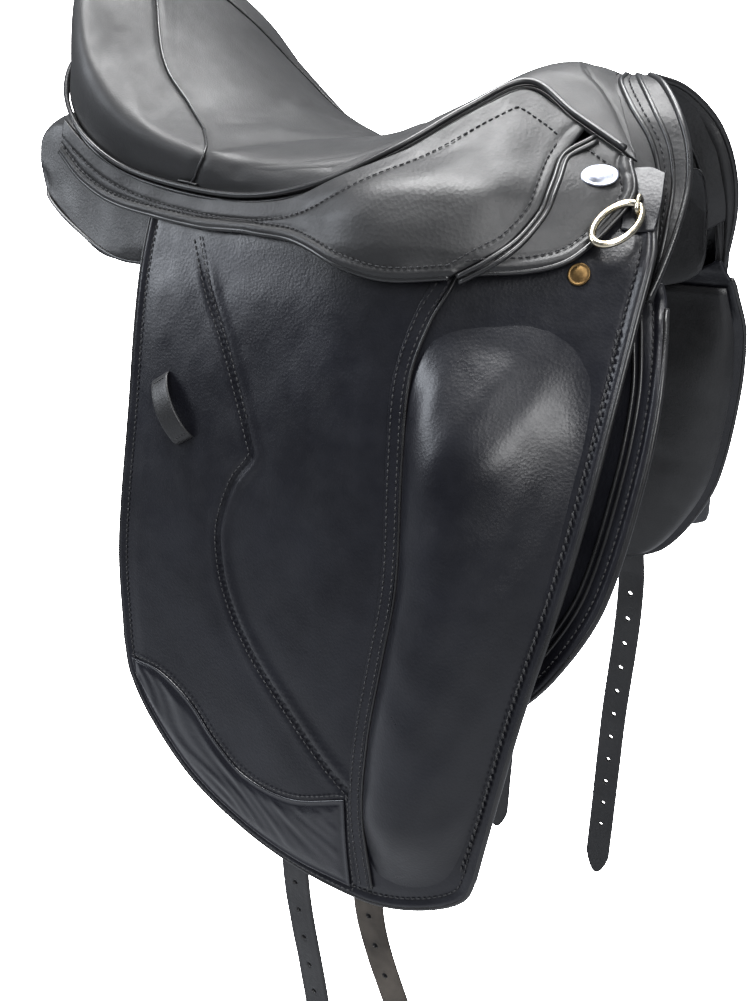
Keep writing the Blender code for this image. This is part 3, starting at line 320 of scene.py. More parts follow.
def spline(points, t):
    """Points on the smooth curve through points, at t from 0 to 1 by their chord lengths."""
    p = np.array(points, float)
    h = np.linalg.norm(np.diff(p, axis=0), axis=1)
    ends = np.concatenate([[0.0], np.cumsum(h)])
    slopes = np.empty_like(p)
    slopes[0] = (p[1] - p[0]) / h[0]
    slopes[-1] = (p[-1] - p[-2]) / h[-1]
    slopes[1:-1] = (p[2:] - p[:-2]) / (h[1:] + h[:-1])[:, None]
    target = np.clip(np.asarray(t, float), 0.0, 1.0) * ends[-1]
    i = np.clip(np.searchsorted(ends, target) - 1, 0, len(h) - 1)
    f = (target - ends[i]) / h[i]
    run = h[i][:, None]
    return hermite(p[i], p[i + 1], slopes[i] * run, slopes[i + 1] * run, f[:, None])


def dense(points, spacing=DENSE_STEP):
    """The smooth curve through points as many short steps of equal length."""
    rough = spline(points, np.linspace(0, 1, 400))
    arc = arc_lengths(rough)
    stations = np.linspace(0, arc[-1], max(3, int(arc[-1] / spacing) + 1))
    return read_along(stations, arc, rough)


def half_width(x, z):
    """The guide surface: distance from the centre plane to the flap's outer face."""
    front = smoothstep((x - 0.02) / 0.19)
    rear = smoothstep((-0.06 - x) / 0.12)
    return table(BREADTH, z) - table(FRONT_TAPER, z) * front + table(REAR_FLARE, z) * rear


def side_normal(x, z):
    d = 0.002
    slope_x = (half_width(x + d, z) - half_width(x - d, z)) / (2 * d)
    slope_z = (half_width(x, z + d) - half_width(x, z - d)) / (2 * d)
    return unit(np.stack([-slope_x, np.ones_like(slope_x), -slope_z], axis=-1))


def lay(xz, offset=0.0):
    """Outline points laid on the left side's guide surface, moved outward by offset."""
    xz = np.asarray(xz, float)
    x, z = xz[..., 0], xz[..., 1]
    away = np.broadcast_to(np.asarray(offset, float), x.shape)[..., None]
    return np.stack([x, half_width(x, z), z], axis=-1) + side_normal(x, z) * away


def patch(outline, u, v):
    """A grid of points in a four-sided outline: u runs from rear to front, v from top to bottom."""
    top, bottom, rear, front = outline
    t, b = spline(top, u)[None], spline(bottom, u)[None]
    r, f = spline(rear, v)[:, None], spline(front, v)[:, None]
    u, v = u[None, :, None], v[:, None, None]
    top, bottom = np.array(top, float), np.array(bottom, float)
    corners = (top[0] * (1 - u) * (1 - v) + top[-1] * u * (1 - v)
               + bottom[0] * (1 - u) * v + bottom[-1] * u * v)
    return t * (1 - v) + b * v + r * (1 - u) + f * u - corners


def seat_point(s, t):
    """Points of the seat's left half: s from cantle to pommel, t from the centre line to the welt."""
    s, t = np.broadcast_arrays(np.asarray(s, float), np.asarray(t, float))
    last = len(SEAT) - 1
    place = s * last
    i = np.clip(place.astype(int), 0, last - 1)
    f = (place - i)[..., None, None]
    rows = [SEAT[np.clip(i + k, 0, last)] for k in (-1, 0, 1, 2)]
    station = hermite(rows[1], rows[2], (rows[2] - rows[0]) / 2, (rows[3] - rows[1]) / 2, f)
    centre, rim, welt = station[..., 0, :], station[..., 1, :], station[..., 2, :]
    start = np.zeros_like(centre)
    start[..., 1] = rim[..., 1] + 0.25 * (rim[..., 1] - centre[..., 1])
    over = (welt - centre) * 0.5
    t = t[..., None]
    top = hermite(centre, rim, start, over, t / RIM_T)
    side = hermite(rim, welt, over * 0.75, (welt - rim) * 0.9, (t - RIM_T) / (1 - RIM_T))
    return np.where(t <= RIM_T, top, side)


def seat_normal(s, t):
    d = 0.004
    along = seat_point(np.minimum(1, s + d), t) - seat_point(np.maximum(0, s - d), t)
    across = seat_point(s, np.minimum(1, t + d)) - seat_point(s, np.maximum(0, t - d))
    return unit(np.cross(along, across))


def distance(points, path):
    """How far each point is from a polyline, in two or three dimensions."""
    shape = points.shape[:-1]
    p = points.reshape(-1, points.shape[-1])
    best = np.full(len(p), 1e9)
    for a, b in zip(path[:-1], path[1:]):
        run = b - a
        t = np.clip((p - a) @ run / max(run @ run, 1e-12), 0, 1)
        best = np.minimum(best, np.linalg.norm(p - a - t[:, None] * run, axis=1))
    return best.reshape(shape)


def inset(path, depth, inside):
    """A path moved sideways in its plane by depth, towards the point inside."""
    path = np.asarray(path, float)
    run = unit(np.gradient(path, axis=0))
    away = np.stack([-run[:, 1], run[:, 0]], axis=1)
    if np.sum((np.asarray(inside) - path.mean(axis=0)) * away.mean(axis=0)) < 0:
        away = -away
    return path + away * depth


# ---------------------------------------------------------------- meshes

def settle(points, side, hang):
    """Left-side points put in place: the left flap stands out, and the right side is mirrored."""
    points = np.array(points, float)
    if hang and SPLAY[side]:
        turn = SPLAY[side] * smoothstep((BEND_TOP - points[:, 2]) / (BEND_TOP - BEND_END))
        dy, dz = points[:, 1] - FLAP_AXIS_Y, points[:, 2] - FLAP_AXIS_Z
        points[:, 1] = FLAP_AXIS_Y + dy * np.cos(turn) - dz * np.sin(turn)
        points[:, 2] = FLAP_AXIS_Z + dy * np.sin(turn) + dz * np.cos(turn)
    if side < 0:
        points[:, 1] *= -1
    return points


def add_piece(name, form, finish, side=1, hang=False):
    """A piece from (points, faces), built for the left side and put in place."""
    points, faces = form
    faces = [list(f)[::-1] if side < 0 else list(f) for f in faces]
    mesh = bpy.data.meshes.new(name)
    mesh.from_pydata(settle(points, side, hang).tolist(), [], faces)
    mesh.materials.append(finish)
    mesh.shade_smooth()
    obj = bpy.data.objects.new(name, mesh)
    bpy.context.scene.collection.objects.link(obj)
    return obj


def join(*forms):
    """Several (points, faces) forms as one."""
    points, faces, start = [], [], 0
    for form_points, form_faces in forms:
        points.append(form_points)
        faces += [[i + start for i in face] for face in form_faces]
        start += len(form_points)
    return np.concatenate(points), faces


def quads(rows, columns, start=0, flip=False, wrap=False):
    """Faces of a grid of points, closed into a ring when wrap is set."""
    index = start + np.arange(rows * columns).reshape(rows, columns)
    if wrap:
        index = np.concatenate([index, index[:, :1]], axis=1)
    cells = np.stack([index[:-1, :-1], index[:-1, 1:], index[1:, 1:], index[1:, :-1]], axis=-1).reshape(-1, 4)
    return cells[:, ::-1] if flip else cells


def ring_faces(count, sides, flip=False):
    """Faces of a form made of closed rings, with a cap on its first and last ring."""
    first, last = list(range(sides)), list(range((count - 1) * sides, count * sides))
    caps = [first, last[::-1]] if flip else [first[::-1], last]
    return quads(count, sides, wrap=True, flip=flip).tolist() + caps


def plug(ends, side):
    """A closed form between two rings of the left side, in its final place."""
    faces = ring_faces(2, len(ends[0]))
    return settle(np.concatenate(ends), side, False), [f[::-1] for f in faces] if side < 0 else faces


def closed_form(outer, inner):
    """A closed mesh between an outer and an inner grid of points."""
    rows, columns = outer.shape[:2]
    size = rows * columns
    index = np.arange(size).reshape(rows, columns)
    ring = np.concatenate([index[0, :-1], index[:-1, -1], index[-1, :0:-1], index[:0:-1, 0]])
    ahead = np.roll(ring, -1)
    rim = np.stack([ring, ring + size, ahead + size, ahead], axis=1)
    faces = np.concatenate([quads(rows, columns), quads(rows, columns, size, flip=True), rim])
    return np.concatenate([outer.reshape(-1, 3), inner.reshape(-1, 3)]), faces


def edge_rows(grid):
    """A grid with close rows added beside its first and last row, and each row's distance from them."""

    def side(edge, inner):
        gap = np.linalg.norm(inner - edge, axis=-1, keepdims=True)
        scale = np.minimum(1.0, 0.85 * gap / EDGE_STEPS[-1])
        direction = (inner - edge) / np.maximum(gap, 1e-9)
        return [edge + direction * step * scale for step in EDGE_STEPS]

    first = side(grid[0], grid[1])
    last = side(grid[-1], grid[-2])[::-1]
    rows = np.concatenate([np.stack(first), grid[1:-1], np.stack(last)])
    far = np.full(len(grid) - 2, EDGE_MARGIN)
    return rows, np.concatenate([EDGE_STEPS, far, EDGE_STEPS[::-1]])


def outline_grid(outline, spacing):
    """Outline points on a grid that is close near the border, and each one's distance from it."""
    top, bottom, rear, front = (dense(side) for side in outline)

    def steps(a, b):
        length = (len(a) + len(b)) / 2 * DENSE_STEP
        margin = min(0.25, EDGE_MARGIN / length)
        return np.concatenate([[0.0], np.linspace(margin, 1 - margin, max(3, int(length / spacing))), [1.0]])

    grid = patch(outline, steps(top, bottom), steps(rear, front))
    grid, down = edge_rows(grid)
    grid, along = edge_rows(grid.transpose(1, 0, 2))
    grid = grid.transpose(1, 0, 2)
    return grid, np.minimum(down[:, None], along[None, :])


def bullnose(depth, thickness):
    """Half the leather's thickness at a distance from its edge: full inside, rounded at the edge."""
    radius = thickness / 2
    t = np.clip(depth / radius, 0.0, 1.0)
    return radius * (0.12 + 0.88 * np.sqrt(1 - (1 - t) ** 2))


def sheet(outline, offset, thickness, spacing=0.004, relief=None):
    """Sheet leather on the guide surface with rounded edges and relief on its outer face."""
    grid, depth = outline_grid(outline, spacing)
    x, z = grid[..., 0], grid[..., 1]
    middle = offset(x, z) if callable(offset) else np.full(x.shape, offset)
    half = bullnose(depth, thickness)
    raised = relief(grid, depth) if relief else 0.0
    return closed_form(lay(grid, middle + half + raised), lay(grid, middle - half))


def tube(path, radius, sides=8, closed=False):
    """A round tube along a path: capped, or joined end to end when the path is closed."""
    path = np.asarray(path, float)
    count = len(path)
    run = unit(np.roll(path, -1, axis=0) - np.roll(path, 1, axis=0) if closed else np.gradient(path, axis=0))
    across = np.cross(run[0], (0.3, 0.2, 0.9))
    rings = []
    angles = np.linspace(0, 2 * np.pi, sides, endpoint=False)
    for p, tangent in zip(path, run):
        across = across - tangent * (across @ tangent)
        across /= np.linalg.norm(across)
        up = np.cross(tangent, across)
        rings.append(p + radius * (np.cos(angles)[:, None] * across + np.sin(angles)[:, None] * up))
    points = np.concatenate(rings)
    if not closed:
        return points, ring_faces(count, sides, flip=True)
    last, first = np.arange((count - 1) * sides, count * sides), np.arange(sides)
    twist = np.argmin(np.linalg.norm(points[first] - points[last[0]], axis=1))
    first = np.roll(first, -twist)
    closing = np.stack([last, np.roll(last, -1), np.roll(first, -1), first], axis=1)[:, ::-1]
    return points, quads(count, sides, wrap=True, flip=True).tolist() + closing.tolist()


def pipe(name, word, path, finish, sides=8, hang=False):
    """Piping along a path on one side of the saddle."""
    return add_piece(f"{name}_{word}", tube(path, PIPING[name], sides), finish["piping"], SIDES[word], hang)


def stitches(path, normals, pitch=STITCH_PITCH, length=STITCH_LENGTH, radius=STITCH_RADIUS, slant=0.0):
    """A row of sewn stitches: small rounded lengths of thread, half sunk in the leather."""
    path, normals = np.asarray(path, float), np.asarray(normals, float)
    arc = arc_lengths(path)
    at = np.arange(pitch / 2, arc[-1], pitch)
    middle, up = read_along(at, arc, path), read_along(at, arc, normals)
    run = unit(read_along(at + STITCH_REACH, arc, path) - read_along(at - STITCH_REACH, arc, path))
    across = unit(np.cross(run, up))
    run = run + across * slant
    up = np.cross(across, run)
    sides = 6
    angles = np.linspace(0, 2 * np.pi, sides, endpoint=False)
    points = []
    for share, width, rise in STITCH_RINGS:
        centre = middle + run * length * share + up * radius * rise
        for a in angles:
            points.append(centre + radius * width * (across * np.cos(a) * 1.15 + up * np.sin(a)))
    points = np.stack(points, axis=1)
    count = len(STITCH_RINGS)
    one = ring_faces(count, sides)
    faces = [[i + k * count * sides for i in face] for k in range(len(at)) for face in one]
    return points.reshape(-1, 3), faces


def side_stitches(path, offset, **options):
    """A row of stitches along an outline on the side."""
    path = np.asarray(path, float)
    level = offset(path[:, 0], path[:, 1]) if callable(offset) else offset
    return stitches(lay(path, level), side_normal(path[:, 0], path[:, 1]), **options)


def lathe(profile, frame, segments=40, stretch=(1.0, 1.0)):
    """A turned form: (radius, height) steps from its rim to its centre, on a frame of the side."""
    origin, along, normal, up = frame
    angles = np.linspace(0, 2 * np.pi, segments, endpoint=False)
    spoke = np.cos(angles)[:, None] * along * stretch[0] + np.sin(angles)[:, None] * up * stretch[1]
    rings = [origin + radius * spoke + normal * height for radius, height in profile]
    return np.concatenate(rings), ring_faces(len(profile), segments, flip=True)


def side_frame(x, z, offset):
    """Origin and local axes on the side: along the saddle, outward, and up the leather."""
    x, z = np.array([x]), np.array([z])
    normal = side_normal(x, z)[0]
    along = (lay(np.stack([x + 0.01, z], -1)) - lay(np.stack([x - 0.01, z], -1)))[0]
    along /= np.linalg.norm(along)
    up = np.cross(along, normal)
    return lay(np.stack([x, z], -1), offset)[0], along, normal, up / np.linalg.norm(up)


def on_frame(frame, points):
    """Points given along a frame's axes, put in place."""
    origin, along, normal, up = frame
    points = np.asarray(points, float)
    return origin + points[:, :1] * along + points[:, 1:2] * normal + points[:, 2:3] * up


def grid_normals(grid):
    n = np.cross(np.gradient(grid, axis=1), np.gradient(grid, axis=0))
    return n / np.maximum(np.linalg.norm(n, axis=-1, keepdims=True), 1e-12)


def inflate(form, pinned, cap):
    """The points of a form after its leather is blown out by a cloth simulation, moved by cap at most."""
    points, faces = form
    scene = bpy.context.scene
    mesh = bpy.data.meshes.new("air")
    mesh.from_pydata(np.asarray(points).tolist(), [], [list(f) for f in faces])
    obj = bpy.data.objects.new("air", mesh)
    scene.collection.objects.link(obj)
    cloth = obj.modifiers.new("air", "CLOTH")
    cloth.settings.use_pressure = True
    cloth.settings.uniform_pressure_force = CLOTH_PRESSURE
    cloth.settings.effector_weights.gravity = 0.0
    cloth.settings.tension_stiffness = CLOTH_STIFFNESS
    cloth.settings.compression_stiffness = CLOTH_STIFFNESS
    cloth.settings.bending_stiffness = CLOTH_BENDING
    group = obj.vertex_groups.new(name="sewn")
    group.add(np.nonzero(pinned)[0].tolist(), 1.0, "REPLACE")
    cloth.settings.vertex_group_mass = "sewn"
    cloth.point_cache.frame_start = 1
    cloth.point_cache.frame_end = CLOTH_FRAMES
    for frame_number in range(1, CLOTH_FRAMES + 1):
        scene.frame_set(frame_number)
    blown = obj.evaluated_get(bpy.context.evaluated_depsgraph_get()).data
    moved = np.array([v.co for v in blown.vertices])
    bpy.data.objects.remove(obj, do_unlink=True)
    scene.frame_set(1)
    step = moved - points
    length = np.linalg.norm(step, axis=1, keepdims=True)
    return points + step * np.minimum(1.0, cap / np.maximum(length, 1e-9))


def ripple(x, z, wave):
    """A gentle uneven surface: a few crossing waves."""
    return (np.sin(x / wave + 1.3 * np.sin(z / wave * 0.7)) * np.sin(z / wave * 1.3 + 0.8)
            + 0.6 * np.sin(x / wave * 2.3 - z / wave * 1.7 + 0.5)) / 1.6


def subdivide(obj):
    mod = obj.modifiers.new("smooth", "SUBSURF")
    mod.levels = 1
    mod.render_levels = 1
    return obj


# ---------------------------------------------------------------- materials

def shader(name, roughness, metallic=0.0, coat=0.0, coat_roughness=0.2, specular=0.5):
    made = bpy.data.materials.new(name)
    made.use_nodes = True
    tree = made.node_tree
    surface = tree.nodes["Principled BSDF"]
    surface.inputs["Roughness"].default_value = roughness
    surface.inputs["Metallic"].default_value = metallic
    surface.inputs["Coat Weight"].default_value = coat
    surface.inputs["Coat Roughness"].default_value = coat_roughness
    surface.inputs["Specular IOR Level"].default_value = specular
    return made, tree, surface


def texture(tree, kind, scale, **sockets):
    """A noise, Voronoi or wave texture in the object's own metres, with these sockets set."""
    coords = tree.nodes.new("ShaderNodeTexCoord")
    node = tree.nodes.new(f"ShaderNodeTex{kind}")
    tree.links.new(coords.outputs["Object"], node.inputs["Vector"])
    node.inputs["Scale"].default_value = scale
    for socket, value in sockets.items():
        node.inputs[socket].default_value = value
    return node


def blend_colours(tree, factor, first, second):
    """A mix of two colours, each a constant or a node's output."""
    mix = tree.nodes.new("ShaderNodeMix")
    mix.data_type = "RGBA"
    tree.links.new(factor, mix.inputs["Factor"])
    for socket, colour in ((mix.inputs[6], first), (mix.inputs[7], second)):
        if isinstance(colour, tuple):
            socket.default_value = (*colour, 1.0)
        else:
            tree.links.new(colour, socket)
    return mix.outputs[2]


def remap(tree, value, low, high, new_low, new_high):
    """A value from one range carried over to another."""
    node = tree.nodes.new("ShaderNodeMapRange")
    tree.links.new(value, node.inputs["Value"])
    for socket, number in (("From Min", low), ("From Max", high), ("To Min", new_low), ("To Max", new_high)):
        node.inputs[socket].default_value = number
    return node.outputs["Result"]


def bumps(tree, surface, layers):
    """Height textures stacked into the shader's normal: (height output, strength, depth)."""
    normal = None
    for height, strength, depth in layers:
        node = tree.nodes.new("ShaderNodeBump")
        node.inputs["Strength"].default_value = strength
        node.inputs["Distance"].default_value = depth
        tree.links.new(height, node.inputs["Height"])
        if normal:
            tree.links.new(normal, node.inputs["Normal"])
        normal = node.outputs["Normal"]
    tree.links.new(normal, surface.inputs["Normal"])


def leather(name, dark, light, roughness, grain=620.0, grain_depth=0.00022, crease=0.00055, crease_scale=85.0,
            coat=0.08, spread=0.07):
    """Dressed black leather: pore grain, fine creases, uneven dye and polish, and lighter rubbed edges."""
    made, tree, surface = shader(name, roughness, coat=coat, coat_roughness=0.24)
    dye = texture(tree, "Noise", 17.0, Detail=4.0, Roughness=0.6)
    colour = blend_colours(tree, remap(tree, dye.outputs["Fac"], 0.35, 0.68, 0.0, 1.0), dark, light)
    geometry = tree.nodes.new("ShaderNodeNewGeometry")
    rubbed = remap(tree, geometry.outputs["Pointiness"], 0.515, 0.60, 0.0, 0.45)
    colour = blend_colours(tree, rubbed, colour, (0.026, 0.026, 0.029))
    tree.links.new(colour, surface.inputs["Base Color"])
    polish = texture(tree, "Noise", 48.0, Detail=5.0, Roughness=0.62)
    tree.links.new(remap(tree, polish.outputs["Fac"], 0.3, 0.7, roughness - spread, roughness + spread),
                   surface.inputs["Roughness"])
    pores = texture(tree, "Voronoi", grain, Randomness=1.0)
    fine = texture(tree, "Noise", grain * 2.1, Detail=3.0)
    creases = texture(tree, "Noise", crease_scale, Detail=6.0, Roughness=0.58, Distortion=0.6)
    bumps(tree, surface, [(creases.outputs["Fac"], 0.35, crease),
                          (pores.outputs["Distance"], 0.45, grain_depth),
                          (fine.outputs["Fac"], 0.35, grain_depth * 0.6)])
    return made


def suede(name, dark, light):
    """The unfinished flesh side of a strap."""
    made, tree, surface = shader(name, 0.85, specular=0.25)
    nap = texture(tree, "Noise", 260.0, Detail=6.0, Roughness=0.7)
    broad = texture(tree, "Noise", 30.0, Detail=3.0)
    colour = blend_colours(tree, remap(tree, broad.outputs["Fac"], 0.3, 0.7, 0.0, 1.0), dark, light)
    tree.links.new(colour, surface.inputs["Base Color"])
    bumps(tree, surface, [(nap.outputs["Fac"], 0.6, 0.0006)])
    return made


def woven(name, dark, light, scale):
    """Thread or webbing: crossing ribs."""
    made, tree, surface = shader(name, 0.6, specular=0.4)
    ribs = texture(tree, "Wave", scale, Distortion=0.4, Detail=1.0)
    fuzz = texture(tree, "Noise", scale * 3.0, Detail=3.0)
    tree.links.new(blend_colours(tree, fuzz.outputs["Fac"], dark, light), surface.inputs["Base Color"])
    bumps(tree, surface, [(ribs.outputs["Fac"], 0.6, 0.0004), (fuzz.outputs["Fac"], 0.3, 0.0002)])
    return made


def metal(name, dark, light, roughness):
    """Worn metal: fine scratches, tarnish and uneven polish."""
    made, tree, surface = shader(name, roughness, metallic=1.0)
    tarnish = texture(tree, "Noise", 130.0, Detail=5.0, Roughness=0.65)
    colour = blend_colours(tree, remap(tree, tarnish.outputs["Fac"], 0.35, 0.65, 0.0, 1.0), dark, light)
    tree.links.new(colour, surface.inputs["Base Color"])
    scratch = texture(tree, "Noise", 400.0, Detail=6.0, Roughness=0.7, Distortion=1.5)
    tree.links.new(remap(tree, scratch.outputs["Fac"], 0.3, 0.7, roughness - 0.05, roughness + 0.10),
                   surface.inputs["Roughness"])
    bumps(tree, surface, [(scratch.outputs["Fac"], 0.25, 0.00008)])
    return made


def make_materials():
    """Every finish. Leathers differ in dye, polish, grain size and how deep their grain and creases are. The
    flap, block and patch get a darker, bluer dye that paints shade on these hanging side pieces.
    """
    dye, rubbed_dye = (0.0125, 0.0125, 0.0132), (0.0220, 0.0220, 0.0228)
    # The second pair is a darker, bluer dye for the flap, knee block and patch. It is painted shade: the
    # bluish shade on the hanging side pieces, which are the same black leather as the seat.
    shade_painted_dye, shade_painted_rubbed_dye = (0.0055, 0.0057, 0.0085), (0.0105, 0.0110, 0.0150)
    # key: name, roughness, grain scale and depth, crease depth and scale, then coat and spread if they differ
    leathers = {
        "seat": ("seat_leather_black", 0.56, 700.0, 0.00014, 0.0004, 60.0),
        "skirt": ("skirt_leather_grained", 0.49, 420.0, 0.00026, 0.0005, 120.0),
        "flap": ("flap_leather_black", 0.35, 520.0, 0.00018, 0.0005, 50.0),
        "block": ("block_leather_soft", 0.34, 520.0, 0.00016, 0.0004, 50.0),
        "patch": ("patch_leather_glossy", 0.24, 300.0, 0.00012, 0.0016, 38.0, 0.45, 0.05),
        "panel": ("panel_leather_soft", 0.44, 560.0, 0.00018, 0.0007, 42.0, 0.05),
        "strap": ("strap_leather_waxed", 0.46, 480.0, 0.00024, 0.0005, 110.0),
        "piping": ("piping_leather", 0.32, 900.0, 0.00010, 0.0003, 160.0, 0.25),
    }
    made = {}
    for key, (name, *look) in leathers.items():
        # Painted shade: the hanging side pieces take the darker, bluer dye.
        colours = (shade_painted_dye, shade_painted_rubbed_dye) if key in ("flap", "block", "patch") else (dye, rubbed_dye)
        made[key] = leather(name, *colours, *look)
    made["shell"] = leather("moulded_tree", (0.050, 0.045, 0.040), (0.085, 0.078, 0.070), 0.6,
                            grain=300.0, coat=0.0)
    made["strap_back"] = suede("strap_flesh_side", (0.060, 0.054, 0.048), (0.13, 0.115, 0.10))
    made["thread"] = woven("waxed_thread", (0.018, 0.018, 0.019), (0.070, 0.070, 0.074), 900.0)
    made["webbing"] = woven("girth_webbing", (0.30, 0.27, 0.22), (0.44, 0.41, 0.35), 420.0)
    made["steel"] = metal("forged_steel", (0.32, 0.32, 0.33), (0.55, 0.55, 0.56), 0.34)
    made["badge"] = metal("badge_silver", (0.22, 0.23, 0.27), (0.48, 0.50, 0.56), 0.36)
    made["ring"] = metal("ring_pale_gold", (0.42, 0.37, 0.27), (0.74, 0.69, 0.58), 0.20)
    made["brass"] = metal("stud_bronze", (0.085, 0.055, 0.026), (0.21, 0.14, 0.065), 0.42)
    return made


# ---------------------------------------------------------------- seat and pommel

def seat_depth(s, t):
    """How thick the seat's leather and foam are together."""
    foam = FOAM_DEPTH + 0.0030 + 0.0050 * smoothstep((0.86 - s) / 0.2)
    under = smoothstep((0.52 - t) / 0.05) * smoothstep((s - 0.09) / 0.03) * smoothstep((0.95 - s) / 0.03)
    return COVER_THICK + (foam - COVER_THICK) * under


def seat_swell(s, t, paths):
    """How far the sewn seat is blown out, on a coarse grid of its left half and read back at (s, t)."""
    rows, columns = 90, 41
    coarse_s, coarse_t = np.linspace(0, 1, rows), np.linspace(0, 1, columns)
    grid_s, grid_t = np.meshgrid(coarse_s, coarse_t, indexing="ij")
    points = seat_point(grid_s, grid_t)
    sewn = np.minimum(distance(points, paths[0]), distance(points, paths[1])) < 0.0045
    sewn |= (grid_t > 0.97) | (grid_s < 0.012) | (grid_s > 0.985)
    full = both_halves(points)
    pins = np.concatenate([sewn[:, :0:-1], sewn], axis=1)
    blown = inflate((full.reshape(-1, 3), quads(rows, 2 * columns - 1, flip=True)), pins.ravel(), 0.0045)
    lift = (blown.reshape(rows, -1, 3) - full)[:, columns - 1:]
    lift = np.sum(lift * seat_normal(grid_s, grid_t), axis=-1)
    i = np.clip(s * (rows - 1), 0, rows - 1.001)
    j = np.clip(t * (columns - 1), 0, columns - 1.001)
    i0, j0 = i.astype(int), j.astype(int)
    fi, fj = i - i0, j - j0
    return ((lift[i0, j0] * (1 - fj) + lift[i0, j0 + 1] * fj) * (1 - fi)
            + (lift[i0 + 1, j0] * (1 - fj) + lift[i0 + 1, j0 + 1] * fj) * fi)


def seat_path(keys, raise_by=0.0):
    """A line on the seat through (s, t) keys, and the seat's normals along it."""
    st = dense(keys, 0.004)
    s, t = np.clip(st[:, 0], 0, 1), np.clip(st[:, 1], 0, 1)
    normal = seat_normal(s, t)
    return seat_point(s, t) + normal * raise_by, normal


def seat(finish):
    """The seat: leather over foam, sewn along its side seams, its welt and its edge at the pommel."""
    seam, _ = seat_path(SEAT_SEAM)
    front, _ = seat_path(SEAT_FRONT)
    s, t = np.meshgrid(np.linspace(0, 1, 300), np.linspace(0, 1, 96), indexing="ij")
    base, normal = seat_point(s, t), seat_normal(s, t)
    near_seam, near_front = distance(base, seam), distance(base, front)
    front_s = np.interp(t, [key[1] for key in SEAT_FRONT], [key[0] for key in SEAT_FRONT])
    swell = seat_swell(s, t, (seam, front))
    pull = smoothstep((0.03 - near_seam) / 0.03) * np.sin(near_seam / 0.0011 + 40 * s) * 0.00006
    edge = smoothstep((1 - t) / 0.03) * smoothstep(s / 0.01)
    height = swell + pull - 0.0014 * bump(near_seam, 0.0026) - 0.0010 * bump(near_front, 0.0018)
    height = height - 0.0011 * smoothstep((s - front_s) / 0.006)
    height += 0.00035 * ripple(base[..., 0], base[..., 1], 0.022)
    outer = base + normal * (height * edge)[..., None]
    inner = base - normal * seat_depth(s, t)[..., None]
    outer[:, 0, 1] = inner[:, 0, 1] = 0.0
    outer, inner = (both_halves(half).transpose(1, 0, 2)[::-1] for half in (outer, inner))
    cover = add_piece("seat_cushion", closed_form(outer, inner), finish["seat"])
    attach(cover, "saddle")
    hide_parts("seat_centre", "seat_side_right", "seat_side_left", "seat_foam")
    line, _ = seat_path(SEAT_SEAM, -0.0001)
    tuck = seat_point(np.array([0.455, 0.462, 0.470]), np.array([0.96, 0.955, 0.96])) + (0, 0.0012, 0)
    along = np.linspace(0.012, 0.978, 150)
    rim = seat_point(along, np.ones_like(along)) + seat_normal(along, np.ones_like(along)) * 0.0026
    for word in SIDES:
        sewn = pipe("seat_seam_piping", word, line, finish)
        tucked = pipe("seat_seam_tuck", word, dense(tuck, 0.001), finish)
        welt = pipe("seat_edge_piping", word, rim, finish, 10)
        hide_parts(f"seat_welt_{word}")
        bead = pipe("seat_edge_bead", word, rim + (0, -0.0012, -0.0042), finish)
        for piece in (sewn, tucked, welt, bead):
            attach(piece, "saddle")


def crossing_sheet(upper, lower, thickness, relief=None, columns=60, rows=36, facing=1):
    """Outer and inner grid of a sheet across the centre plane, between two curves of the left half.

    relief(q, width) raises the outer face, at a share q of the sheet's width from its upper curve.
    """
    u = np.linspace(0, 1, columns)
    q = np.unique(np.concatenate([[0, 0.006, 0.016, 0.035], np.linspace(0.06, 0.94, rows),
                                  [0.965, 0.984, 0.994, 1]]))
    top, low = spline(upper, u), spline(lower, u)
    half = top[None] * (1 - q)[:, None, None] + low[None] * q[:, None, None]
    half[:, 0, 1] = 0.0
    grid = both_halves(half)
    normal = grid_normals(grid) * facing
    width = np.linalg.norm(low - top, axis=1)
    width = np.concatenate([width[:0:-1], width])[None, :]
    body = bullnose(np.minimum(q, 1 - q)[:, None] * width, thickness)
    raised = relief(q[:, None], width) if relief else 0.0
    return grid + normal * (body + raised)[..., None], grid - normal * body[..., None]


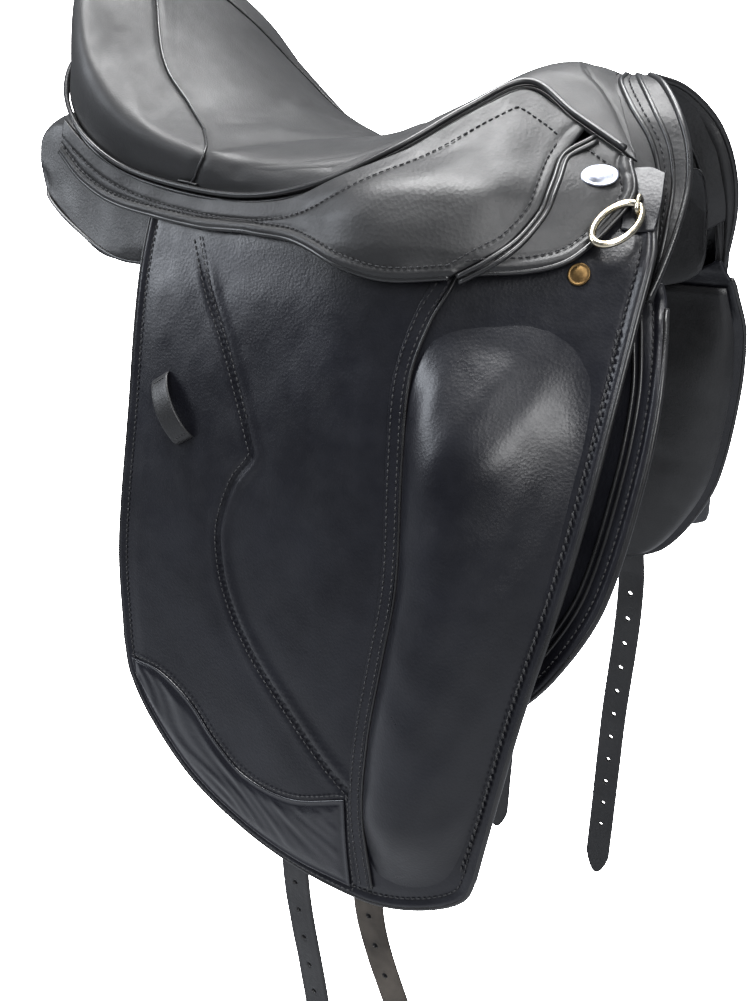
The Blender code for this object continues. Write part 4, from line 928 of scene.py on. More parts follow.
def arch(finish):
    """The facing round the front arch: two crowned bands between piped welts, and the lining behind it."""

    def bands(q, width):
        crowns = 0.0016 * (np.sin(np.pi * np.clip(q / 0.44, 0, 1)) ** 0.7
                           + np.sin(np.pi * np.clip((q - 0.52) / 0.44, 0, 1)) ** 0.7)
        return crowns - 0.0007 * bump((q - ARCH_ROW) * width, 0.0011)

    facing = add_piece("arch_facing", closed_form(*crossing_sheet(ARCH_UPPER, ARCH_OUTER, 0.0030, bands)),
                       finish["skirt"])
    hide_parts("front_facing")
    s, t = np.full(9, 0.965), np.linspace(0, 1, 9)
    under_seat = seat_point(s, t) - seat_normal(s, t) * 0.0030
    behind_facing = spline(ARCH_UPPER, np.linspace(0, 0.66, 9)) + (0.0022, 0.0, -0.0004)
    crown = crossing_sheet(under_seat, behind_facing, 0.0022,
                           lambda q, _: 0.0022 * np.sin(np.pi * q) ** 0.8, columns=50, rows=16)
    gusset = add_piece("pommel_gusset", closed_form(*crown), finish["seat"])
    top = ARCH_OUTER[:6]
    back = [(x - 0.022, y * 0.92, z - 0.008 - 0.10 * y) for x, y, z in top]
    lining = add_piece("arch_lining", closed_form(*crossing_sheet(top, back, 0.0020)), finish["skirt"])
    pieces = [facing, gusset, lining]
    lines = {"inner": ARCH_UPPER, "middle": between(ARCH_UPPER, ARCH_OUTER, 0.48), "outer": ARCH_OUTER}
    row = dense(between(ARCH_UPPER, ARCH_OUTER, ARCH_ROW), 0.003)
    ups = np.tile((0.45, 0.55, 0.70), (len(row), 1))
    for word, side in SIDES.items():
        for label, keys in lines.items():
            line = dense(keys, 0.003) + (0.0006, 0.0006, 0.0012)
            pieces.append(pipe(f"arch_{label}_piping", word, line, finish, 10))
        sewing = stitches(row + ups * 0.0021, ups)
        pieces.append(add_piece(f"arch_stitching_{word}", sewing, finish["thread"], side))
        for n, share in enumerate((0.70, 0.88)):
            line = dense(np.array(between(top, back, share)) - (0, 0.0012, 0.0012), 0.003)
            pieces.append(pipe(f"arch_lining_piping_{n}", word, line, finish))
    for piece in pieces:
        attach(piece, "saddle")


def cantle(finish):
    """The leather that closes the back of the cantle, with its lower piping and stitching."""
    s = np.array([0.0, 0.07, 0.14, 0.20, 0.24])
    edge = seat_point(s, np.ones_like(s))
    upper = edge + np.stack([np.full(5, 0.0035), -0.03 * edge[:, 1], np.full(5, -0.006)], axis=1)
    share = 1 - upper[:, 1] / edge[-1, 1]
    lower = upper + np.stack([np.full(5, 0.010), -0.06 * upper[:, 1], -0.012 - 0.018 * share], axis=1)

    def relief(q, width):
        return 0.0012 * np.sin(np.pi * q) ** 0.8 - 0.0005 * bump((q - 0.22) * width, 0.0010)

    outer, inner = crossing_sheet(lower, upper, 0.0030, relief, columns=50, rows=20, facing=-1)
    back = add_piece("cantle_leather", closed_form(outer[::-1], inner[::-1]), finish["seat"])
    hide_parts("cantle_back")
    pieces = [back]
    row = dense(upper * 0.75 + lower * 0.25, 0.003)
    ups = np.tile((-0.98, 0.0, -0.2), (len(row), 1))
    for word, side in SIDES.items():
        pieces.append(pipe("cantle_piping", word, dense(lower, 0.003) + (-0.0020, 0, 0), finish))
        sewing = stitches(row + ups * 0.0023, ups)
        pieces.append(add_piece(f"cantle_stitching_{word}", sewing, finish["thread"], side))
    for piece in pieces:
        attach(piece, "saddle")


# ---------------------------------------------------------------- skirts

def under_welt(s_first, s_last, count):
    """Outline keys just below the seat's edge, between two of its stations."""
    s = np.linspace(s_first, s_last, count)
    spots = seat_point(s, np.ones_like(s))
    return [(p[0], p[2] - SKIRT_DROP) for p in spots]


def skirt_offset(x, z):
    """Where the skirt's middle lies: it bulges over the stirrup bar."""
    along = smoothstep(1.30 - np.abs(x - 0.078) / 0.075)
    up = smoothstep(1.35 - np.abs(z - BAR_Z) / 0.034)
    return SKIRT_MID + SKIRT_BULGE * along * up


def skirt_face(x, z):
    return skirt_offset(x, z) + SKIRT_THICK / 2


def skirt_blend(piece):
    """Bakes a skirt piece's placement into its mesh."""
    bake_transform(piece)


def skirts(word, side, finish):
    """The big skirt, which covers the stirrup bar and bulges over it, and the small front skirt tucked behind
    it.
    """
    rear_top = under_welt(SKIRT_START, SKIRT_SEAM, 14)
    rim = SKIRT_EDGE + LOBE_EDGE + [SKIRT_BORDER[-1]]
    seam = [rear_top[-1]] + SKIRT_BORDER[1:]
    rim_path, top_path, seam_path = dense(rim), dense(rear_top), dense(seam)

    def relief(grid, _):
        rim_gap, top_gap, seam_gap = (distance(grid, path) for path in (rim_path, top_path, seam_path))
        puff = 0.0022 * smoothstep((np.minimum(rim_gap, np.minimum(top_gap, seam_gap)) - 0.008) / 0.022)
        rolled = 0.0011 * bump(rim_gap - 0.0026, 0.0022) - 0.0007 * bump(rim_gap - SEWN["skirt_rim"], 0.0014)
        sewn = -0.0006 * bump(top_gap - SEWN["skirt_top"], 0.0013)
        sewn = sewn - 0.0006 * bump(seam_gap - SEWN["skirt_seam"], 0.0012)
        return puff + rolled + sewn + 0.0003 * ripple(grid[..., 0], grid[..., 1], 0.013)

    outline = rear_top, rim, [rear_top[0], rim[0]], seam
    skirt = add_piece(f"skirt_leather_{word}", sheet(outline, skirt_offset, SKIRT_THICK, 0.0028, relief),
                      finish["skirt"], side)
    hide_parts(f"skirt_rear_{word}", f"skirt_lobe_{word}")
    centre = (0.03, 0.0)
    bead = pipe("skirt_rim_piping", word, lay(rim_path, skirt_offset(*rim_path.T) + 0.0003), finish, 10)
    rim_row = inset(rim_path, SEWN["skirt_rim"], centre)
    top_row = inset(top_path, SEWN["skirt_top"], centre)[8:-4]
    seam_row = inset(seam_path, SEWN["skirt_seam"], centre)[6:]
    rows = join(*(side_stitches(row, lambda x, z: skirt_face(x, z) + rise)
                  for row, rise in ((rim_row, 0.0002), (top_row, 0.0003), (seam_row, 0.0003))))
    sewing = add_piece(f"skirt_stitching_{word}", rows, finish["thread"], side)
    for piece in (skirt, bead, sewing):
        skirt_blend(piece)

    top = under_welt(SKIRT_SEAM + 0.012, SKIRT_END, 4)
    rear = inset(dense([rear_top[-1]] + SKIRT_BORDER[1:]), 0.0006, (0.16, 0.0))[::8]
    rear = [top[0]] + rear[1:].tolist()
    lower = [tuple(rear[-1])] + FRONT_SKIRT_EDGE
    front = [top[-1], (0.1855, 0.0085), FRONT_SKIRT_EDGE[-1]]
    edge_path, front_path, top_path = dense(lower), dense(front), dense(top)

    def front_relief(grid, _):
        edge_gap = np.minimum(distance(grid, edge_path), distance(grid, front_path))
        top_gap = distance(grid, top_path)
        puff = 0.0014 * smoothstep((np.minimum(edge_gap, top_gap) - 0.008) / 0.012)
        rolled = 0.0012 * bump(edge_gap - 0.0028, 0.0022)
        rolled = rolled - 0.0007 * bump(edge_gap - SEWN["front_skirt"], 0.0013)
        return puff + rolled - 0.0006 * bump(top_gap - SEWN["front_skirt_top"], 0.0013)

    small = add_piece(f"front_skirt_leather_{word}",
                      sheet((top, lower, rear, front), skirt_offset, SKIRT_THICK, 0.0022, front_relief),
                      finish["skirt"], side)
    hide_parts(f"skirt_front_{word}")
    whole = np.concatenate([edge_path[2:-2], front_path[::-1][2:]])
    rim_line = lay(whole, skirt_offset(*whole.T) + 0.0005)
    pieces = [small, pipe("front_skirt_piping", word, rim_line, finish, 10)]
    middle = (0.150, 0.010)
    welt = dense(rear, 0.0025)
    for n, shift in enumerate((0.0012, 0.0044)):
        line = inset(welt, shift, middle)
        line = lay(line, skirt_face(*line.T) + 0.0006)
        pieces.append(pipe(f"skirt_seam_piping_{n}", word, line, finish, 10))
    paths = inset(whole, SEWN["front_skirt"], middle), inset(top_path, SEWN["front_skirt_top"], middle)
    rows = join(*(side_stitches(path, lambda x, z: skirt_face(x, z) + 0.0002) for path in paths))
    pieces.append(add_piece(f"front_skirt_stitching_{word}", rows, finish["thread"], side))
    for piece in pieces:
        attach(piece, "saddle")


# ---------------------------------------------------------------- flaps

def flap_blend(piece):
    """Bakes a flap piece's placement into its mesh."""
    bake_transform(piece)


def cut(obj, cutters):
    """Takes closed forms out of a mesh."""
    tool = add_piece("cutter", cutters, obj.data.materials[0])
    mesh = bmesh.new()
    mesh.from_mesh(tool.data)
    bmesh.ops.recalc_face_normals(mesh, faces=mesh.faces)
    mesh.to_mesh(tool.data)
    mesh.free()
    mod = obj.modifiers.new("cut", "BOOLEAN")
    mod.operation = "DIFFERENCE"
    mod.solver = "EXACT"
    mod.object = tool
    result = bpy.data.meshes.new_from_object(obj.evaluated_get(bpy.context.evaluated_depsgraph_get()))
    obj.modifiers.remove(mod)
    old = obj.data
    obj.data = result
    result.name = old.name
    bpy.data.meshes.remove(old)
    bpy.data.objects.remove(tool, do_unlink=True)
    obj.data.shade_smooth()


def bar_window(side):
    """A block where the stirrup bar stands through the flap, in its final place."""
    frame = side_frame(BAR_X - 0.006, BAR_Z + 0.001, 0.0)
    corner, half_x, half_z, reach = 0.005, 0.064, 0.016, 0.015
    angles = np.linspace(0, 2 * np.pi, 24, endpoint=False)
    across = np.sign(np.cos(angles)) * (half_x - corner) + corner * np.cos(angles)
    up = np.sign(np.sin(angles)) * (half_z - corner) + corner * np.sin(angles)
    rings = [np.stack([across, np.full(24, y), up], axis=1) for y in (-reach, reach)]
    return plug([on_frame(frame, ring) for ring in rings], side)


def flap(word, side, finish):
    """The long flap: rolled and sewn edge, calf seam, and the opening for the stirrup bar."""
    rear, bottom, front = dense(FLAP_REAR), dense(FLAP_BOTTOM), dense(FLAP_FRONT)
    calf = dense(CALF_SEAM)
    border = np.concatenate([rear, bottom[1:], front[::-1][1:]])

    def relief(grid, _):
        x, z = grid[..., 0], grid[..., 1]
        edge_gap, calf_gap = distance(grid, border), distance(grid, calf)
        rolled = 0.0008 * bump(edge_gap - 0.0024, 0.0020) - 0.0006 * bump(edge_gap - SEWN["flap"], 0.0014)
        ahead = np.sign(x - np.interp(-z, -calf[:, 1], calf[:, 0]))
        seam = (0.0012 + 0.0007 * ahead) * bump(calf_gap - 0.0055, 0.0034) - 0.0021 * bump(calf_gap, 0.0022)
        wrinkles = 0.00026 * ripple(x, z, 0.027) + 0.00008 * ripple(x + 0.3, z, 0.0075)
        level = 0.0009 * smoothstep(calf_gap / 0.03) * smoothstep((0.07 - x) / 0.02)
        fade = smoothstep((edge_gap - 0.009) / 0.012) * smoothstep((-0.03 - z) / 0.03)
        return rolled + (seam + level + wrinkles) * fade

    outline = FLAP_TOP, FLAP_BOTTOM, FLAP_REAR, FLAP_FRONT
    leather_piece = add_piece(f"flap_leather_{word}", sheet(outline, FLAP_MID, FLAP_THICK, 0.0030, relief),
                              finish["flap"], side, hang=True)
    cut(leather_piece, bar_window(side))
    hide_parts(f"flap_top_{word}", f"flap_{word}")
    centre = (0.03, -0.20)
    rows = join(side_stitches(inset(border, SEWN["flap"], centre)[4:-4], FLAP_FACE + 0.0001),
                side_stitches(inset(calf, SEWN["calf_behind"], centre), FLAP_FACE + 0.0003),
                side_stitches(inset(calf, SEWN["calf_ahead"], centre)[:CALF_DOUBLE_ROW], FLAP_FACE + 0.0012))
    sewing = add_piece(f"flap_stitching_{word}", rows, finish["thread"], side, hang=True)
    edge = pipe("flap_edge_piping", word, lay(border, FLAP_MID + 0.0008), finish, hang=True)
    for piece in (leather_piece, sewing, edge):
        flap_blend(piece)
    knee_block(word, side, finish)
    flap_details(word, side, finish)


def knee_block(word, side, finish):
    """The long outside block: a padded leather cushion beside a sewn strip, falling away to the front."""
    u, v = np.linspace(0, 1, 38), np.linspace(0, 1, 96)
    flat = patch((BLOCK_TOP, BLOCK_BOTTOM, BLOCK_REAR, BLOCK_FRONT), u, v)
    across = ((u / 0.34) ** 0.75 * ((1 - u) / 0.66) ** 1.45)[None, :]
    along = (smoothstep(v / 0.24) ** 0.85 * smoothstep((1.0 - v) / 0.16) * (1.0 - 0.25 * v))[:, None]
    height = BLOCK_HEIGHT * across * along - BLOCK_TUCK
    outer, inner = lay(flat, FLAP_FACE + height), lay(flat, np.full(height.shape, FLAP_FACE - BLOCK_SINK))
    points, faces = closed_form(outer, inner)
    border = np.zeros(flat.shape[:2], bool)
    border[[0, -1]] = border[:, [0, -1]] = True
    pinned = np.concatenate([border.ravel(), np.ones(border.size, bool)])
    points = inflate((points, faces), pinned, 0.0030)
    size = border.size
    dips = 0.0006 * ripple(points[:size, 0] * 1.5, points[:size, 2], 0.016)
    dips = dips * np.clip(height.ravel() / 0.01, 0, 1)
    points[:size] += side_normal(points[:size, 0], points[:size, 2]) * dips[:, None]
    block = subdivide(add_piece(f"knee_cushion_{word}", (points, faces), finish["block"], side, hang=True))
    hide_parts(f"knee_block_{word}")
    behind_point = (-0.2, -0.25)
    gathers = side_stitches(inset(dense(BLOCK_FRONT, 0.003), -0.0008, behind_point), FLAP_FACE + 0.0010,
                            pitch=0.0050, length=0.0034, radius=0.0007, slant=0.35)
    gather = add_piece(f"block_gathers_{word}", gathers, finish["thread"], side, hang=True)
    for piece in (block, gather):
        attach(piece, f"flap_lower_{word}")
    rear = dense(STRIP_PATH, 0.003)
    lines = inset(rear, STRIP_WIDTH, behind_point), inset(rear, 0.0004, behind_point)
    rear_side, front_side = (line[::12].tolist() + [line[-1].tolist()] for line in lines)
    outline = [rear_side[0], front_side[0]], [rear_side[-1], front_side[-1]], rear_side, front_side
    strip = add_piece(f"block_strip_{word}", sheet(outline, FLAP_FACE + 0.0013, 0.0018, 0.003),
                      finish["flap"], side, hang=True)
    rows = [side_stitches(inset(rear, SEWN[edge], behind_point), FLAP_FACE + 0.0023)
            for edge in ("strip_front", "strip_rear")]
    sewing = add_piece(f"block_stitching_{word}", join(*rows), finish["thread"], side, hang=True)
    line = lay(inset(rear, -0.0006, behind_point), FLAP_FACE + 0.0016)
    for piece in (strip, sewing, pipe("block_piping", word, line, finish, hang=True)):
        flap_blend(piece)


def flap_details(word, side, finish):
    """The sewn glossy patch at the lower rear corner, and the loop for the stirrup leather's end."""
    outline = (PATCH_TOP, PATCH_BOTTOM, [PATCH_TOP[0], PATCH_BOTTOM[0]],
               [PATCH_TOP[-1], (0.064, -0.410), PATCH_BOTTOM[-1]])

    def relief(grid, depth):
        x, z = grid[..., 0], grid[..., 1]
        lean = (0.55 * x + 0.83 * z) / 0.0031 + 2.2 * np.sin(z / 0.013) + 1.7 * np.sin(x / 0.019 + 0.7)
        wrinkles = np.sin(lean) * (0.6 + 0.4 * np.sin(x / 0.009)) + 0.5 * np.sin(1.9 * lean + 6 * x / 0.05)
        raised = 0.00032 * smoothstep((depth - 0.004) / 0.006) * (2 + wrinkles)
        return raised - 0.0005 * bump(depth - SEWN["patch"], 0.0011)

    shine = add_piece(f"calf_patch_{word}", sheet(outline, FLAP_FACE + 0.0013, 0.0016, 0.0022, relief),
                      finish["patch"], side, hang=True)
    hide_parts(f"flap_patch_{word}")
    ring = np.concatenate([dense(PATCH_TOP), dense(outline[3])[1:], dense(PATCH_BOTTOM)[::-1][1:]])
    rows = side_stitches(inset(ring, SEWN["patch"], (-0.03, -0.39)), FLAP_FACE + 0.0022)
    sewing = add_piece(f"patch_stitching_{word}", rows, finish["thread"], side, hang=True)

    ends = [np.array(p) for p in KEEPER_ENDS]
    run = ends[1] - ends[0]
    across = np.array((-run[1], run[0])) / np.linalg.norm(run)
    f = np.linspace(0, 1, 40)
    w = np.array([-0.5, -0.47, -0.42, -0.3, 0, 0.3, 0.42, 0.47, 0.5])
    spots = ends[0] + run * f[:, None, None] + across * (KEEPER_WIDTH * w)[None, :, None]
    rise = KEEPER_RISE * np.sin(np.pi * f)[:, None] ** 0.6
    half = bullnose((0.5 - np.abs(w)) * KEEPER_WIDTH, 0.0022)[None, :]
    middle = KEEPER_BASE + rise
    arched = closed_form(lay(spots, middle + half), lay(spots, middle - half))
    loop = add_piece(f"leather_keeper_{word}", arched, finish["strap"], side, hang=True)
    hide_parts(f"keeper_loop_{word}")
    rows = []
    level = KEEPER_BASE + KEEPER_RISE * math.sin(math.pi * 0.07) ** 0.6 + 0.0013
    for share in (0.07, 0.93):
        row = ends[0] + run * share + across * np.linspace(-0.0055, 0.0055, 12)[:, None]
        rows.append(side_stitches(row, level, pitch=0.0030, length=0.0020))
    knot = add_piece(f"keeper_stitching_{word}", join(*rows), finish["thread"], side, hang=True)
    for piece in (shine, sewing, loop, knot):
        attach(piece, f"flap_lower_{word}")


# ---------------------------------------------------------------- under the flap

def underside(word, side, finish):
    """The sweat flap with its double piping, the girth web, and the front pad of the panel."""
    front = dense(SWEAT[3])
    lower = dense(SWEAT[1])

    def relief(grid, _):
        gap = np.minimum(distance(grid, front), distance(grid, lower))
        beads = 0.0009 * (bump(gap - 0.0035, 0.0018) + bump(gap - 0.0095, 0.0020))
        return beads - 0.0006 * bump(gap - 0.0065, 0.0012) + 0.0003 * ripple(grid[..., 0], grid[..., 1], 0.02)

    def tucked(x, z):
        gap = distance(np.stack([x, z], -1), front[::3])
        flare = 0.0070 * smoothstep(1 - gap / 0.020) * smoothstep((-0.05 - z) / 0.04)
        return SWEAT_MID + flare - 0.0065 * smoothstep((z + 0.052) / 0.018)

    def tucked_face(x, z):
        return tucked(x, z) + SWEAT_THICK / 2

    sweat = add_piece(f"sweat_leather_{word}", sheet(SWEAT, tucked, SWEAT_THICK, 0.0035, relief),
                      finish["flap"], side)
    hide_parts(f"sweat_flap_{word}")
    whole = np.concatenate([dense(SWEAT[2]), lower[1:], front[::-1][1:-9]])
    centre = (0.08, -0.16)
    pieces = [sweat, pipe("sweat_piping", word, lay(whole, tucked(*whole.T) + 0.0004), finish)]
    beside = front[(front[:, 1] < -0.045) & (front[:, 1] > -0.285)]
    for n, shift in enumerate((0.0125, 0.0165)):
        line = inset(beside, shift, centre)
        line = lay(line, tucked_face(*line.T) + 0.0003)
        pieces.append(pipe(f"sweat_welt_{n}", word, line, finish))
    rows = side_stitches(inset(whole, SEWN["sweat"], centre), tucked_face)
    pieces.append(add_piece(f"sweat_stitching_{word}", rows, finish["thread"], side))
    web = add_piece(f"girth_webbing_{word}", sheet(WEB, WEB_MID, WEB_THICK, 0.0035), finish["webbing"], side)
    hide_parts(f"girth_web_{word}")
    u = np.linspace(0, 1, 44)
    flat = patch(FRONT_PAD, u, u)
    edge = (1 - np.abs(2 * u - 1) ** 4).clip(0)
    fade = smoothstep((-0.048 - flat[..., 1]) / 0.075)
    depth = 0.0012 + 0.0165 * np.sqrt(edge[None, :] * edge[:, None]) * fade
    depth = depth * (1 - 0.10 * bump((u - 0.5)[:, None] * 0.2, 0.006))
    pad = add_piece(f"front_pad_{word}", closed_form(lay(flat, np.full(depth.shape, PAD_OUTER)),
                                                     lay(flat, PAD_OUTER - depth)), finish["panel"], side)
    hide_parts(f"panel_front_{word}")
    for piece in pieces + [web, pad]:
        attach(piece, "saddle")


def panel_rings(turns):
    """The panel's sections, smooth along its length, as a grid of rings."""
    x = np.concatenate([np.linspace(PANEL[0, 0], -0.262, 8)[:-1], np.linspace(-0.262, PANEL[-1, 0], 74)])
    columns = [table(list(zip(PANEL[:, 0], PANEL[:, k])), x)[:, None] for k in range(1, 7)]
    y_in, y_out, low_in, low_out, top_in, top_out = columns
    a = 2 * np.pi * np.arange(turns)[None, :] / turns
    power = 0.62 + 0.34 * smoothstep((-0.20 - x) / 0.05)[:, None]
    across = np.sign(np.cos(a)) * np.abs(np.cos(a)) ** power
    lift = np.sign(np.sin(a)) * np.abs(np.sin(a)) ** power
    f = 0.5 + 0.5 * across
    low, high = low_in + (low_out - low_in) * f, top_in + (top_out - top_in) * f
    z = (low + high) / 2 + lift * (high - low) / 2
    y = y_in + (y_out - y_in) * f
    return np.stack([np.broadcast_to(x[:, None], y.shape), y, z], axis=-1)


def keep_inside(points):
    """Holds the panel clear of the sweat flap and the web."""
    x, z = points[..., 0], points[..., 2]
    limit = half_width(x, z) - np.where(x > 0.09, 0.0325, 0.0228)
    points[..., 1] = np.minimum(points[..., 1], limit)
    return points


def panel(word, side, finish):
    """The flocked cushion beside the spine channel: blown out, gusseted, and piped along its sewn edges."""
    turns = 40
    rings = keep_inside(panel_rings(turns))
    count = len(rings)
    faces = ring_faces(count, turns)
    edge_ring = np.zeros((count, turns), bool)
    edge_ring[[0, 1, -2, -1]] = True
    blown = inflate((rings.reshape(-1, 3), faces), edge_ring.ravel(), 0.0030)
    grid = keep_inside(blown).reshape(count, turns, 3)
    slope = np.gradient(grid, axis=1)
    outward = np.stack([slope[..., 2], -slope[..., 1]], axis=-1)
    outward /= np.maximum(np.linalg.norm(outward, axis=-1, keepdims=True), 1e-9)
    grid[..., 1:] += outward * (0.0006 * ripple(grid[..., 0], grid[..., 2] + grid[..., 1], 0.016))[..., None]
    grid = keep_inside(grid)
    cushion = add_piece(f"panel_cushion_{word}", (grid.reshape(-1, 3), faces), finish["panel"], side)
    subdivide(cushion)
    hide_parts(f"panel_{word}")
    pieces = [cushion]
    centres = grid.mean(axis=1, keepdims=True)
    for name, k in (("lower", round(turns * 0.88)), ("inner", round(turns * 0.62))):
        line = grid[1:-2, k]
        out = unit(line - centres[1:-2, 0])
        smooth = spline(line[::6], np.linspace(0, 1, 140)) + spline(out[::6], np.linspace(0, 1, 140)) * 0.0006
        pieces.append(pipe(f"panel_{name}_piping", word, smooth, finish))
    for piece in pieces:
        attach(piece, "saddle")


# ---------------------------------------------------------------- straps and metalwork

def girth_strap(place, word, side, finish):
    """A strap with rounded edges, a pointed tip and real punched holes; the strap that hangs turned shows its
    suede flesh side.
    """
    keys = [(STRAP_TOP, STRAP_X[place])] + STRAP_PATH[f"{place}_{word}"]
    z = np.concatenate([STRAP_TOP - EDGE_STEPS[:4], np.linspace(STRAP_TOP - 0.004, STRAP_TIP + 0.024, 190),
                        STRAP_TIP + 0.022 * (1 - np.sin(np.linspace(0.05, 1, 14) * np.pi / 2))])
    narrow = np.sqrt(np.clip((z - STRAP_TIP) / 0.022, 0.004, 1.0)) * 0.96 + 0.04
    w = np.array([-0.5, -0.49, -0.47, -0.43, -0.36, -0.25, -0.12, 0, 0.12, 0.25, 0.36, 0.43, 0.47, 0.49, 0.5])
    gap = (0.5 - np.abs(w))[None, :] * STRAP_WIDTH
    middle = table(keys, z)
    x = middle[:, None] + w[None, :] * STRAP_WIDTH * narrow[:, None]
    hold = np.broadcast_to(np.maximum(z, STRAP_BREAK)[:, None], x.shape)
    y = lay(np.stack([x, hold], axis=-1), STRAP_MID)[..., 1]
    zs = np.broadcast_to(z[:, None], x.shape)
    half = bullnose(np.minimum(gap * narrow[:, None], (z - STRAP_TIP)[:, None] + 0.0002), STRAP_THICK)
    crease = -0.00035 * bump(gap - 0.0032, 0.0008)
    outer = np.stack([x, y + half + crease + 0.0002 * ripple(x, zs, 0.012), zs], axis=-1)
    inner = np.stack([x, y - half, zs], axis=-1)
    points, faces = closed_form(outer, inner)
    strap = add_piece(f"strap_{place}_{word}", (points, faces), finish["strap"], side)
    strap.data.materials.append(finish["strap_back"])
    cells = (len(z) - 1) * (len(w) - 1)
    flesh = [int(k < cells and f"{place}_{word}" in FLESH_OUT) for k in range(len(faces))]
    strap.data.polygons.foreach_set("material_index", flesh)
    punches = []
    a = np.linspace(0, 2 * np.pi, 16, endpoint=False)
    for k in range(HOLE_COUNT):
        at_z = HOLE_FIRST - HOLE_PITCH * k
        at_x = float(table(keys, at_z))
        at_y = float(lay(np.array([[at_x, max(at_z, STRAP_BREAK)]]), STRAP_MID)[0, 1])
        across, up = at_x + HOLE_RADIUS * np.cos(a), at_z + HOLE_RADIUS * np.sin(a)
        punches.append(plug([np.stack([across, np.full(16, at_y + reach), up], axis=1)
                             for reach in (-0.006, 0.006)], side))
    cut(strap, join(*punches))
    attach(strap, f"strap_{place}_{word}")
    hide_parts(f"girth_strap_{place}_{word}")


def metalwork(word, side, finish):
    """The oval badge, the stud, and the ring on its staple with the leather tab behind it."""
    frame = side_frame(0.165, 0.0160, SKIRT_FACE + 0.0018)
    badge = add_piece(f"badge_oval_{word}", lathe(BADGE_DOME, frame, 48, (1.50, 0.95)), finish["badge"], side)
    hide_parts(f"badge_{word}")
    frame = side_frame(0.167, -0.032, FLAP_FACE + 0.0004)
    stud = add_piece(f"stud_head_{word}", lathe(STUD_DOME, frame), finish["brass"], side)
    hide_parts(f"flap_stud_{word}")
    frame = side_frame(*DEE_PLACE, 0.0)
    arc = [(0.0, 0.0018, 0.0060), (0.0, 0.0050, 0.0057), (0.0, DEE_RISE + 0.0024, 0.0036),
           (0.0, DEE_RISE + 0.0024, -0.0036), (0.0, 0.0050, -0.0057), (0.0, 0.0018, -0.0060)]
    wire = on_frame(frame, spline(arc, np.linspace(0, 1, 28)))
    staple = add_piece(f"staple_wire_{word}", tube(wire, 0.0013, 12), finish["ring"], side)
    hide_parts(f"dee_staple_{word}")
    a = np.linspace(0, 2 * np.pi, 64, endpoint=False)[:, None]
    axis = np.array((math.cos(DEE_LEAN), 0.0, -math.sin(DEE_LEAN)))
    flat_down = np.array((-math.sin(DEE_LEAN), 0.0, -math.cos(DEE_LEAN)))
    down = flat_down * math.cos(DEE_STAND) + np.array((0.0, 1.0, 0.0)) * math.sin(DEE_STAND)
    oval = (0.0, DEE_RISE - 0.0012, 0.0) + axis * DEE_HALF_WIDTH * np.sin(a)
    oval = oval + down * DEE_HALF_HEIGHT * (1 - np.cos(a))
    hoop = tube(on_frame(frame, oval), DEE_WIRE, 14, closed=True)
    ring = add_piece(f"ring_wire_{word}", hoop, finish["ring"], side)
    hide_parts(f"dee_ring_{word}")
    backing = sheet(TAB, FLAP_FACE + 0.0009, 0.0016, 0.002)
    leather_tab = add_piece(f"ring_tab_{word}", backing, finish["flap"], side)
    for piece, body, slot in ((badge, "saddle", "badge_metal"), (stud, "saddle", "stud_brass"),
                              (staple, "saddle", "ring_metal"), (ring, f"dee_{word}", "ring_metal"),
                              (leather_tab, "saddle", "flap_leather")):
        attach(piece, body)


def carried_nodes(finish):
    """Materials for the CAD nodes that show as they are."""
    looks = {"tree": "shell", "head_arch": "steel"}
    for word in SIDES:
        for node in ("stirrup_bar", "bar_rivet_1", "bar_rivet_2", "bar_catch"):
            looks[f"{node}_{word}"] = "steel"
    for node, look in looks.items():
        obj = bpy.data.objects[node]
        for slot in obj.material_slots:
            slot.material = finish[look]


# ---------------------------------------------------------------- stage

def camera_ray_mix(nodes, links, lit, seen, output):
    """Shows the camera one closure and lights the scene with another."""
    ray = nodes.new("ShaderNodeLightPath")
    mix = nodes.new("ShaderNodeMixShader")
    links.new(ray.outputs["Is Camera Ray"], mix.inputs["Fac"])
    links.new(lit, mix.inputs[1])
    links.new(seen, mix.inputs[2])
    links.new(mix.outputs["Shader"], output.inputs["Surface"])


def area_light(name, location, aim, size, power, colour=(1.0, 1.0, 1.0)):
    """A rectangular lamp at a place, turned towards the point aim."""
    lamp = bpy.data.lights.new(name, "AREA")
    lamp.shape = "RECTANGLE"
    lamp.size, lamp.size_y = size
    lamp.energy = power
    lamp.color = colour
    obj = bpy.data.objects.new(name, lamp)
    obj.location = location
    direction = np.array(aim, float) - np.array(location, float)
    yaw = math.atan2(direction[0], -direction[1])
    tilt = math.atan2(math.hypot(direction[0], direction[1]), -direction[2])
    obj.rotation_euler = (tilt, 0.0, yaw + math.pi)
    bpy.context.scene.collection.objects.link(obj)


def camera():
    """The camera, and how the picture's light is mapped to its colours."""
    scene = bpy.context.scene
    data = bpy.data.cameras.new("camera")
    data.lens = 34.35
    data.sensor_width = 36.0
    obj = bpy.data.objects.new("camera", data)
    obj.location = (0.365, -0.617, 0.041)
    obj.rotation_euler = (math.radians(69.1), 0.0, math.radians(32.6))
    scene.collection.objects.link(obj)
    scene.camera = obj
    scene.view_settings.view_transform = "Standard"
    scene.view_settings.gamma = 0.85


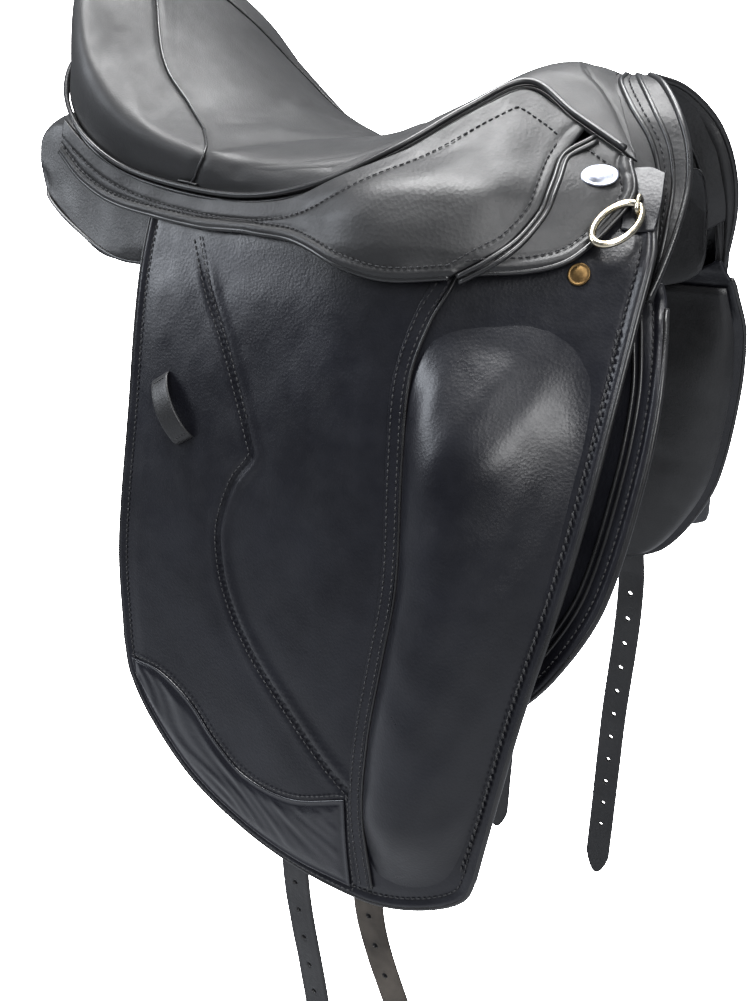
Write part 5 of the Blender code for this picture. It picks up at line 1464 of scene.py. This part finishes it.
def backdrop():
    """A white backdrop that lights the scene as a soft dome, brighter overhead."""
    scene = bpy.context.scene
    world = bpy.data.worlds.new("studio")
    world.use_nodes = True
    nodes, links = world.node_tree.nodes, world.node_tree.links
    white = nodes.new("ShaderNodeBackground")
    white.inputs["Color"].default_value = (1.0, 1.0, 1.0, 1.0)
    white.inputs["Strength"].default_value = 8.0
    light = nodes["Background"]
    light.inputs["Color"].default_value = (0.90, 0.94, 1.0, 1.0)
    direction = nodes.new("ShaderNodeTexCoord")
    split = nodes.new("ShaderNodeSeparateXYZ")
    dome = nodes.new("ShaderNodeMapRange")
    links.new(direction.outputs["Generated"], split.inputs["Vector"])
    links.new(split.outputs["Z"], dome.inputs["Value"])
    for socket, number in (("From Min", -0.25), ("From Max", 0.9), ("To Min", 0.03), ("To Max", 0.60)):
        dome.inputs[socket].default_value = number
    links.new(dome.outputs["Result"], light.inputs["Strength"])
    camera_ray_mix(nodes, links, light.outputs["Background"], white.outputs["Background"],
                   nodes["World Output"])
    scene.world = world


def pale_floor():
    """The pale floor, far below the saddle's straps."""
    floor_mesh = bpy.data.meshes.new("floor")
    reach, level = 12.0, -0.90
    floor_mesh.from_pydata([(-reach, -reach, level), (reach, -reach, level), (reach, reach, level),
                            (-reach, reach, level)], [], [(0, 1, 2, 3)])
    floor = bpy.data.objects.new("floor", floor_mesh)
    made, tree, surface = shader("floor_white", 0.8, specular=0.1)
    surface.inputs["Base Color"].default_value = (0.45, 0.46, 0.48, 1.0)
    glow = tree.nodes.new("ShaderNodeEmission")
    glow.inputs["Strength"].default_value = 8.0
    camera_ray_mix(tree.nodes, tree.links, surface.outputs["BSDF"], glow.outputs["Emission"],
                   tree.nodes["Material Output"])
    floor_mesh.materials.append(made)
    bpy.context.scene.collection.objects.link(floor)


def lights():
    """Soft lights from above, the front and the left."""
    area_light("key", (-0.2, -0.5, 1.8), (0.0, -0.1, 0.0), (1.2, 0.9), 80.0)
    area_light("front", (1.3, -1.3, 0.7), (0.1, 0.0, -0.1), (0.8, 1.2), 30.0)
    area_light("left", (-1.5, -1.15, 0.65), (0.0, 0.0, -0.1), (0.8, 1.1), 26.0, (0.90, 0.94, 1.0))
    area_light("top", (0.1, 0.6, 1.7), (0.0, 0.0, 0.0), (1.2, 0.8), 40.0)


def main():
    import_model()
    camera()
    backdrop()
    pale_floor()
    lights()
    finish = make_materials()
    seat(finish)
    arch(finish)
    cantle(finish)
    for word, side in SIDES.items():
        skirts(word, side, finish)
        flap(word, side, finish)
        underside(word, side, finish)
        panel(word, side, finish)
        metalwork(word, side, finish)
        for place in STRAP_X:
            girth_strap(place, word, side, finish)
    carried_nodes(finish)


main()
